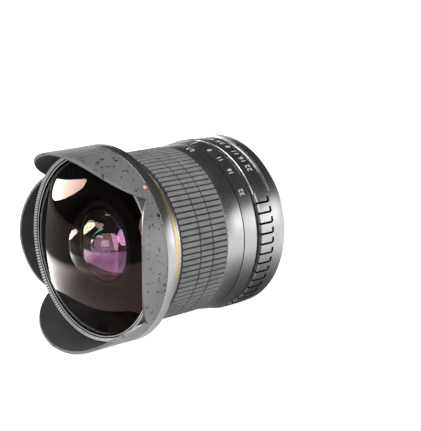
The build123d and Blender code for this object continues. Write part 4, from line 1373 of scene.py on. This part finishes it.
@dataclass
class PetalHood:
    """Thin hood with two tall and two short petals."""

    rear: float = 67.9
    rear_radius: float = 37.7
    radius: float = 37.6
    wall: float = 1.2
    petal_unit: float = 33.0
    petal_base: float = 33.2
    lug_inner: float = 35.3
    lug_rear: float = 68.5
    lug_front: float = 69.9
    spread: float = 55.0
    tall: tuple[float, float, float, float] = (1.6545, 0.307, 0.137, 0.202)
    short: tuple[float, float, float, float] = (1.385, 0.439, -0.284, 1.025)
    segments: int = 720
    rows: int = 14
    lug_clocks: tuple[float, ...] = (0.0, 120.0, 240.0)
    lug_sweep: float = 26.0
    lug_steps: int = 16
    inward: float = -0.3
    rim_crease: float = 60.0
    rim_from: float = 70.2
    rim_rounding: float = 0.22
    dot_clock: float = 45.3
    dot_station: float = 68.9
    dot_proud: float = 0.02
    dot_radii: tuple[float, float] = (0.75, 0.7)
    dot_height: float = 0.16

    def petal(self, law: tuple[float, float, float, float], off: float) -> float:
        """Rim of one petal.

        Args:
            law: Height at its middle and its three falls, in petal units above the petal base.
            off: Degrees from its middle.

        Returns:
            Station of the rim.
        """
        share = (off / self.spread) ** 2
        height = law[0] - law[1] * share - law[2] * share**2 - law[3] * share**3
        return self.petal_base + self.petal_unit * height

    def rim(self, clock: float) -> float:
        """Station of the rim at a clock angle."""
        off = abs(math.remainder(clock, 180.0))
        return max(self.petal(self.tall, off), self.petal(self.short, 90.0 - off))

    def build(self, shop: Workshop) -> None:
        """Make the hood, its black lining, its lugs and its dot.

        Args:
            shop: Maker of pieces.
        """
        hood = self.shell()
        outline = block(self.lug_inner, self.radius - self.wall / 2, self.lug_rear, self.lug_front)
        starts = [clock - self.lug_sweep / 2 for clock in self.lug_clocks]
        lugs = [wedge(outline, start, self.lug_sweep, self.lug_steps) for start in starts]
        piece = shop.make(
            "petal_shell", gather([hood, *lugs]), Finish.HOOD, "hood", ["petal_hood"],
            crease=50.0,
        )
        shop.touch_up(piece, Finish.HOOD_INSIDE, self.faces_inwards)
        dot = bmesh.new()
        middle = at(self.radius + self.dot_proud, self.dot_station, self.dot_clock)
        peg(dot, middle, (self.dot_clock, "Y"), self.dot_radii, self.dot_height, segments=24)
        shop.make("hood_dot", dot, Finish.DOT, "hood")

    def faces_inwards(self, face: bpy.types.MeshPolygon) -> bool:
        """Whether a face of the hood looks towards the optical axis.

        Args:
            face: Face of the hood.

        Returns:
            True on the lining.
        """
        out = Vector((face.center.x, 0.0, face.center.z)).normalized()
        return face.normal.dot(out) < self.inward

    def shell(self) -> bmesh.types.BMesh:
        """Wall of the hood, from its rear edge to the wavy rim.

        Returns:
            The wall, closed and rounded at the rim.
        """
        bm = bmesh.new()
        bmesh.ops.create_circle(
            bm, cap_ends=False, segments=self.segments, radius=self.radius * MM,
            matrix=Matrix.Rotation(math.pi / 2, 4, "X"),
        )
        loop = bm.edges[:]
        levels = [bm.verts[:]]
        for _ in range(self.rows):
            grown = bmesh.ops.extrude_edge_only(bm, edges=loop)["geom"]
            loop = [item for item in grown if isinstance(item, bmesh.types.BMEdge)]
            levels.append([item for item in grown if isinstance(item, bmesh.types.BMVert)])
        for row, verts in enumerate(levels):
            share = row / self.rows
            for vert in verts:
                clock = math.degrees(math.atan2(vert.co.x, vert.co.z))
                station = self.rear + (self.rim(clock) - self.rear) * share
                radius = self.rear_radius if row == 0 else self.radius
                vert.co = at(radius, station, clock)
        bmesh.ops.recalc_face_normals(bm, faces=bm.faces[:])
        if bm.faces[:][0].normal.dot(bm.faces[:][0].calc_center_median()) < 0:
            bmesh.ops.reverse_faces(bm, faces=bm.faces[:])
        bmesh.ops.solidify(bm, geom=bm.faces[:], thickness=self.wall * MM)
        bmesh.ops.recalc_face_normals(bm, faces=bm.faces[:])
        rims = [
            edge for edge in bm.edges
            if edge.is_manifold and edge.calc_face_angle() > math.radians(self.rim_crease)
            and -min(vert.co.y for vert in edge.verts) > self.rim_from * MM
        ]
        bmesh.ops.bevel(
            bm, geom=rims, offset=self.rim_rounding * MM, offset_type="OFFSET", segments=2, profile=0.5,
            affect="EDGES", clamp_overlap=True, material=-1,
        )
        return bm


@dataclass
class GlassElement:
    """One lens element with two spherical faces."""

    name: str
    body: str
    finish: Finish
    rim: float
    front: float
    rear: float
    front_clear: float
    front_curve: float
    rear_clear: float
    rear_curve: float
    rear_finish: Finish | None = None
    wide: float = 20.0
    wide_steps: tuple[int, int] = (192, 28)
    narrow_steps: tuple[int, int] = (96, 14)
    rim_margin: float = 0.5
    clear_margin: float = 0.01

    def build(self, shop: Workshop) -> None:
        """Make the element.

        Args:
            shop: Maker of pieces.
        """
        outline = [*self.face(self.front, self.front_clear, self.front_curve)]
        outline += [(self.rim, self.front), (self.rim, self.rear)]
        outline += reversed(self.face(self.rear, self.rear_clear, -self.rear_curve))
        bm = turned(outline, segments=self.steps()[0])
        piece = shop.make(
            self.name + "_glass", bm, self.finish, self.body, [self.name], crease=20.0,
        )
        shop.touch_up(piece, Finish.BLACK_EDGE_AND_SLOT_SHADE, lambda face: self.blackened(piece.data, face))
        if self.rear_finish:
            shop.touch_up(piece, self.rear_finish, self.behind)

    def behind(self, face: bpy.types.MeshPolygon) -> bool:
        """Whether a face belongs to the polished rear face.

        Args:
            face: Face of the element.

        Returns:
            True on the rear face, False on its blackened edge.
        """
        backwards = face.normal.y > 0 and where(face)[1] < self.front - self.rim_margin
        return backwards and face.material_index == 0

    def blackened(self, mesh: bpy.types.Mesh, face: bpy.types.MeshPolygon) -> bool:
        """Whether a face lies outside the polished faces, on the ground and blackened edge.

        Args:
            mesh: Mesh of the element.
            face: One of its faces.

        Returns:
            True on the edge.
        """
        for index in face.vertices:
            point = mesh.vertices[index].co
            radius, station = math.hypot(point.x, point.z) / MM, -point.y / MM
            nearer_front = abs(station - self.front) < abs(station - self.rear)
            clear = self.front_clear if nearer_front else self.rear_clear
            if radius <= clear - self.clear_margin:
                return False
        return True

    def face(self, edge: float, clear: float, curve: float) -> list[tuple[float, float]]:
        """Outline of one face, whose rim of the clear radius lies at a station.

        Args:
            edge: Station of the face's rim.
            clear: Clear radius.
            curve: Radius of curvature, positive where the face bulges forwards.

        Returns:
            (radius, station) points from the axis outwards.
        """
        depth = abs(curve) - math.sqrt(curve**2 - clear**2)
        vertex = edge + math.copysign(depth, curve)
        return lens_arc(curve, clear, vertex, self.steps()[1])

    def steps(self) -> tuple[int, int]:
        """Steps of the turn and of each face's arc, more on a wide element."""
        return self.wide_steps if self.rim > self.wide else self.narrow_steps


@dataclass
class FrontGlass:
    """Front element, its ribbed retaining ring and the glass that is seen through it."""

    ring_outer: float = 36.0
    ring_inner: float = 34.0
    ring_seat: float = 34.23
    ring_rear: float = 71.2
    ring_top: float = 73.3
    lip_station: float = 72.5
    glass_front: float = 71.9
    cone_inner: float = 34.8
    lip_outer: float = 34.4
    groove_floor: float = 72.1
    rib_count: int = 200
    rib_sweep: float = 0.9
    rib_height: float = 0.22
    rib_margins: tuple[float, float] = (0.1, 0.2)
    edge_rounding: float = 0.06
    lip_margins: tuple[float, float, float] = (0.03, 0.01, 0.12)

    def cone_face(self, radius: float) -> float:
        """Station of the cone's face at a radius."""
        share = (radius - self.cone_inner) / (self.ring_outer - self.cone_inner)
        return self.lip_station + (self.ring_top - self.lip_station) * share

    def elements(self) -> list[GlassElement]:
        """The glass that is seen from the front.

        Returns:
            The first five elements, front to rear.
        """
        body, group = "lens_body", "focus_group"
        near, second, inner = Finish.FRONT_GLASS, Finish.SECOND_GLASS, Finish.INNER_GLASS
        return [
            GlassElement(
                "front_element", body, near, rim=34.2, front=71.9, rear=67.0, front_clear=33.9,
                front_curve=56.95, rear_clear=18.48, rear_curve=-20.97, rear_finish=Finish.FRONT_REAR_GLASS,
            ),
            GlassElement(
                "second_element", body, second, rim=17.6, front=65.0, rear=60.5, front_clear=16.6,
                front_curve=40.17, rear_clear=12.0, rear_curve=-15.0,
            ),
            GlassElement(
                "third_element", body, inner, rim=11.5, front=57.5, rear=51.4, front_clear=10.2,
                front_curve=-39.78, rear_clear=10.2, rear_curve=-16.01,
            ),
            GlassElement(
                "fourth_element", body, inner, rim=11.5, front=51.38, rear=49.88, front_clear=10.2,
                front_curve=16.01, rear_clear=10.2, rear_curve=24.99,
            ),
            GlassElement(
                "fifth_element", group, inner, rim=10.97, front=38.22, rear=36.42, front_clear=9.5,
                front_curve=59.85, rear_clear=9.5, rear_curve=25.65,
            ),
        ]

    def build(self, shop: Workshop) -> None:
        """Make the ring and the glass.

        Args:
            shop: Maker of pieces.
        """
        cone = turned(
            [
                (self.ring_seat, self.ring_rear), (self.ring_outer, self.ring_rear),
                (self.ring_outer, self.ring_top), (self.cone_inner, self.lip_station),
                (self.cone_inner, self.groove_floor), (self.lip_outer, self.groove_floor),
                (self.lip_outer, self.lip_station), (self.ring_inner, self.lip_station),
                (self.ring_inner, self.glass_front), (self.ring_seat, self.glass_front),
            ],
            rounding=self.edge_rounding,
        )
        piece = shop.make(
            "front_cone", cone, Finish.NAME_RING, "lens_body", ["front_retaining_ring"],
        )
        shop.make("front_cone_ribs", self.ribs(), Finish.RIB_GREY, "lens_body")
        dark = self.cone_inner + self.lip_margins[0]
        shop.touch_up(piece, Finish.BLACK_EDGE_AND_SLOT_SHADE, lambda face: where(face)[0] < dark)
        shop.touch_up(piece, Finish.RIB_GREY, self.on_lip)
        for element in self.elements():
            element.build(shop)

    def ribs(self) -> bmesh.types.BMesh:
        """Fine ribs on the cone's face.

        Returns:
            All ribs in one mesh.
        """
        inner, outer = self.cone_inner + self.rib_margins[0], self.ring_outer - self.rib_margins[1]
        low, high = self.cone_face(inner), self.cone_face(outer)
        outline = [
            (inner, low - SINK), (outer, high - SINK), (outer, high + self.rib_height),
            (inner, low + self.rib_height),
        ]
        rib = wedge(outline, -self.rib_sweep / 2, self.rib_sweep, steps=1)
        return repeated(rib, [360.0 * step / self.rib_count for step in range(self.rib_count)])

    def on_lip(self, face: bpy.types.MeshPolygon) -> bool:
        """Whether a face lies on the lip next to the glass.

        Args:
            face: Face of the ring.

        Returns:
            True on the lip.
        """
        _, outer, low = self.lip_margins
        radius, station = where(face)
        return radius < self.lip_outer + outer and station > self.lip_station - low


@dataclass
class InnerWorks:
    """Finishes of the nodes inside the lens."""

    blacks: tuple[str, ...] = (
        "rear_light_shield", "rear_group_carrier", "front_group_cell", "iris_housing", "second_element_ring",
        "front_doublet_ring", "front_spacer", "middle_spacer", "rear_spacer", "rear_retaining_ring",
    )
    brasses: tuple[str, ...] = ("helicoid_ring", "guide_keys", "focus_drive_key", "iris_cam_ring")
    steels: tuple[str, ...] = (
        "iris_snap_ring", "detent_spring", "aperture_link", "stop_down_lever", "detent_screw",
        "drive_key_screw", "iris_screws", "detent_ball",
    )
    glasses: tuple[str, ...] = (
        "sixth_element", "seventh_element", "eighth_element", "ninth_element", "tenth_element",
    )
    blade_count: int = 6

    def dress(self, shop: Workshop, frame: dict[str, Any]) -> None:
        """Finish the inner nodes.

        Args:
            shop: Maker of pieces.
            frame: The loaded frame.
        """
        shop.dress(frame, Finish.INNER_BLACK, *self.blacks)
        shop.dress(frame, Finish.BRASS, *self.brasses)
        shop.dress(frame, Finish.STEEL, *self.steels)
        shop.dress(frame, Finish.INNER_GLASS, *self.glasses)
        blades = (f"iris_blade_{number + 1}" for number in range(self.blade_count))
        shop.dress(frame, Finish.BLADE, *blades)


# Studio


@dataclass
class Lamp:
    """A soft box, rectangular or oval, that faces a point of the lens."""

    name: str
    azimuth: float
    elevation: float
    distance: float
    width: float
    height: float
    power: float
    colour: Colour = (1.0, 1.0, 1.0)
    roll: float = 0.0
    shape: str = "RECTANGLE"
    target: tuple[float, float, float] = (0.0, -0.045, 0.0)

    def build(self) -> None:
        """Hang the lamp. Azimuth runs from the front of the lens towards +X."""
        azimuth, elevation = math.radians(self.azimuth), math.radians(self.elevation)
        flat = math.cos(elevation)
        way = Vector((math.sin(azimuth) * flat, -math.cos(azimuth) * flat, math.sin(elevation)))
        data = bpy.data.lights.new(self.name, "AREA")
        data.shape = self.shape
        data.size = self.width
        data.size_y = self.height
        data.energy = self.power
        data.color = self.colour
        lamp = bpy.data.objects.new(self.name, data)
        bpy.context.scene.collection.objects.link(lamp)
        facing = way.to_track_quat("Z", "Y").to_matrix().to_4x4()
        place = Matrix.Translation(Vector(self.target) + way * self.distance)
        lamp.matrix_world = place @ facing @ Matrix.Rotation(math.radians(self.roll), 4, "Z")


@dataclass
class Studio:
    """Pale floor, soft light and the camera."""

    floor_height: float = -0.0375
    floor_size: float = 14.0
    floor_glow: float = 0.85
    floor_tone: Colour = (0.86, 0.86, 0.86)
    mirrored_tone: Colour = (0.02, 0.02, 0.02)
    pool_place: tuple[float, float] = (0.38, 0.40)
    pool_radius: float = 0.675
    pool_edge: float = 0.03
    pool_outside: float = 0.04
    shade_place: tuple[float, float] = (0.02, 0.0)
    lens_shade: Law = (0.028, 0.095, 0.0, 1.35)
    left_light: Law = (-0.115, -0.025, 7.5, 1.0)
    left_slope: float = 2.0
    left_offset: float = 0.015
    front_shade: Law = (-0.085, -0.045, 0.62, 1.0)
    camera_place: tuple[float, float, float] = (0.37340, -0.36231, 0.12273)
    camera_right: tuple[float, float, float] = (0.6845, 0.7290, 0.0)
    camera_back: tuple[float, float, float] = (0.7097, -0.6664, 0.2288)
    focal_length: float = 108.58
    sensor_width: float = 36.0
    clip_range: tuple[float, float] = (0.01, 50.0)
    room: Colour = (0.045, 0.045, 0.045)
    backdrop: Colour = (0.95, 0.95, 0.95)
    backdrop_top: Law = (0.16, 0.34, 1.0, 0.0)
    backdrop_side: Law = (0.0, 0.45, 0.0, 1.0)
    lamps: tuple[Lamp, ...] = (
        Lamp("window", -70.0, 14.0, 1.2, 0.97, 0.32, 9.5, (1.0, 0.90, 0.80), roll=30.0, shape="ELLIPSE"),
        Lamp("side_strip", 134.0, 8.0, 1.1, 0.66, 0.50, 1.2),
        Lamp("overhead", 0.0, 66.0, 1.3, 1.0, 0.7, 15.0),
        Lamp("front_fill", 52.0, 15.0, 1.6, 2.5, 1.4, 26.0, shape="ELLIPSE"),
    )

    def build(self) -> None:
        """Set up floor, world, lamps and camera."""
        self.floor()
        self.world()
        for lamp in self.lamps:
            lamp.build()
        self.camera()
        bpy.context.scene.view_settings.view_transform = "Standard"

    def floor(self) -> None:
        """Lay the pale floor, which glows evenly for the camera and by a law of its own in the glass."""
        bm = bmesh.new()
        bmesh.ops.create_grid(
            bm, x_segments=8, y_segments=8, size=self.floor_size / 2,
            matrix=Matrix.Translation((0.0, 0.0, self.floor_height)),
        )
        mesh = bpy.data.meshes.new("studio_floor")
        bm.to_mesh(mesh)
        bm.free()
        floor = bpy.data.objects.new("studio_floor", mesh)
        bpy.context.scene.collection.objects.link(floor)
        bench = Bench("floor_white")
        bench.set(Roughness=0.9, Specular_IOR_Level=0.1)
        path = bench.node("LightPath").outputs
        mirrored = bench.maths("MAXIMUM", path["Is Glossy Ray"], path["Is Transmission Ray"])
        bench.set(Base_Color=bench.mix(mirrored, self.floor_tone, self.mirrored_tone))
        glow = bench.maths("MAXIMUM", path["Is Camera Ray"], self.mirrored_light(bench, mirrored))
        strength = bench.maths("MULTIPLY", glow, self.floor_glow)
        bench.set(Emission_Color=(1.0, 1.0, 1.0, 1.0), Emission_Strength=strength)
        floor.data.materials.append(bench.material)

    def mirrored_light(self, bench: Bench, mirrored: bpy.types.NodeSocket) -> bpy.types.NodeSocket:
        """Light of the floor as the lens mirrors it: a round painted pool of light with a painted shadow
        under the lens, lighter to the left and darker in front.

        Args:
            bench: The floor's material.
            mirrored: One for rays that the lens mirrors or bends, else zero.

        Returns:
            The light.
        """
        axes = bench.node("SeparateXYZ", Vector=bench.place).outputs
        ahead = bench.maths("MULTIPLY", axes["Y"], self.left_slope)
        aside = bench.maths("MAXIMUM", axes["X"], bench.maths("SUBTRACT", ahead, self.left_offset))
        pool_law = (self.pool_radius, self.pool_radius + self.pool_edge, 1.0, self.pool_outside)
        light = mirrored
        for value, law in (
            (bench.distance(self.pool_place), pool_law),
            (bench.distance(self.shade_place), self.lens_shade),
            (aside, self.left_light),
            (axes["Y"], self.front_shade),
        ):
            light = bench.maths("MULTIPLY", light, bench.spread(value, law, eased=True))
        return light

    def world(self) -> None:
        """Light the room: a pale backdrop low behind the lens, dim elsewhere."""
        world = bpy.data.worlds.new("studio_world")
        bpy.context.scene.world = world
        world.use_nodes = True
        room = Nodes(world.node_tree)
        axes = room.node("SeparateXYZ", Vector=room.node("TexCoord").outputs["Generated"]).outputs
        low = room.spread(axes["Z"], self.backdrop_top, eased=True)
        behind = room.spread(axes["Y"], self.backdrop_side, eased=True)
        colour = room.mix(room.maths("MULTIPLY", low, behind), self.room, self.backdrop)
        sky = world.node_tree.nodes["Background"]
        room.feed(sky.inputs["Color"], colour)
        room.feed(sky.inputs["Strength"], 1.0)

    def camera(self) -> None:
        """Place the camera of the photograph."""
        data = bpy.data.cameras.new("photo_camera")
        data.lens = self.focal_length
        data.sensor_width = self.sensor_width
        data.clip_start, data.clip_end = self.clip_range
        camera = bpy.data.objects.new("photo_camera", data)
        bpy.context.scene.collection.objects.link(camera)
        right = Vector(self.camera_right).normalized()
        back = Vector(self.camera_back).normalized()
        up = back.cross(right)
        turn = Matrix((right, up, back)).transposed().to_4x4()
        camera.matrix_world = Matrix.Translation(self.camera_place) @ turn
        bpy.context.scene.camera = camera


def main() -> None:
    """Load the frame, dress the lens piece by piece and set up the studio."""
    logging.basicConfig(level=logging.INFO, format="%(message)s")
    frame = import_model()
    shop = Workshop(Finishes())
    assemblies = (
        RearMount(), IndexBarrel(), ApertureRing(), FocusRing(), FrontBarrel(), PetalHood(), FrontGlass(),
    )
    for assembly in assemblies:
        log.info("building %s", type(assembly).__name__)
        assembly.build(shop)
    InnerWorks().dress(shop, frame)
    Studio().build()


if __name__ == "__main__":
    main()
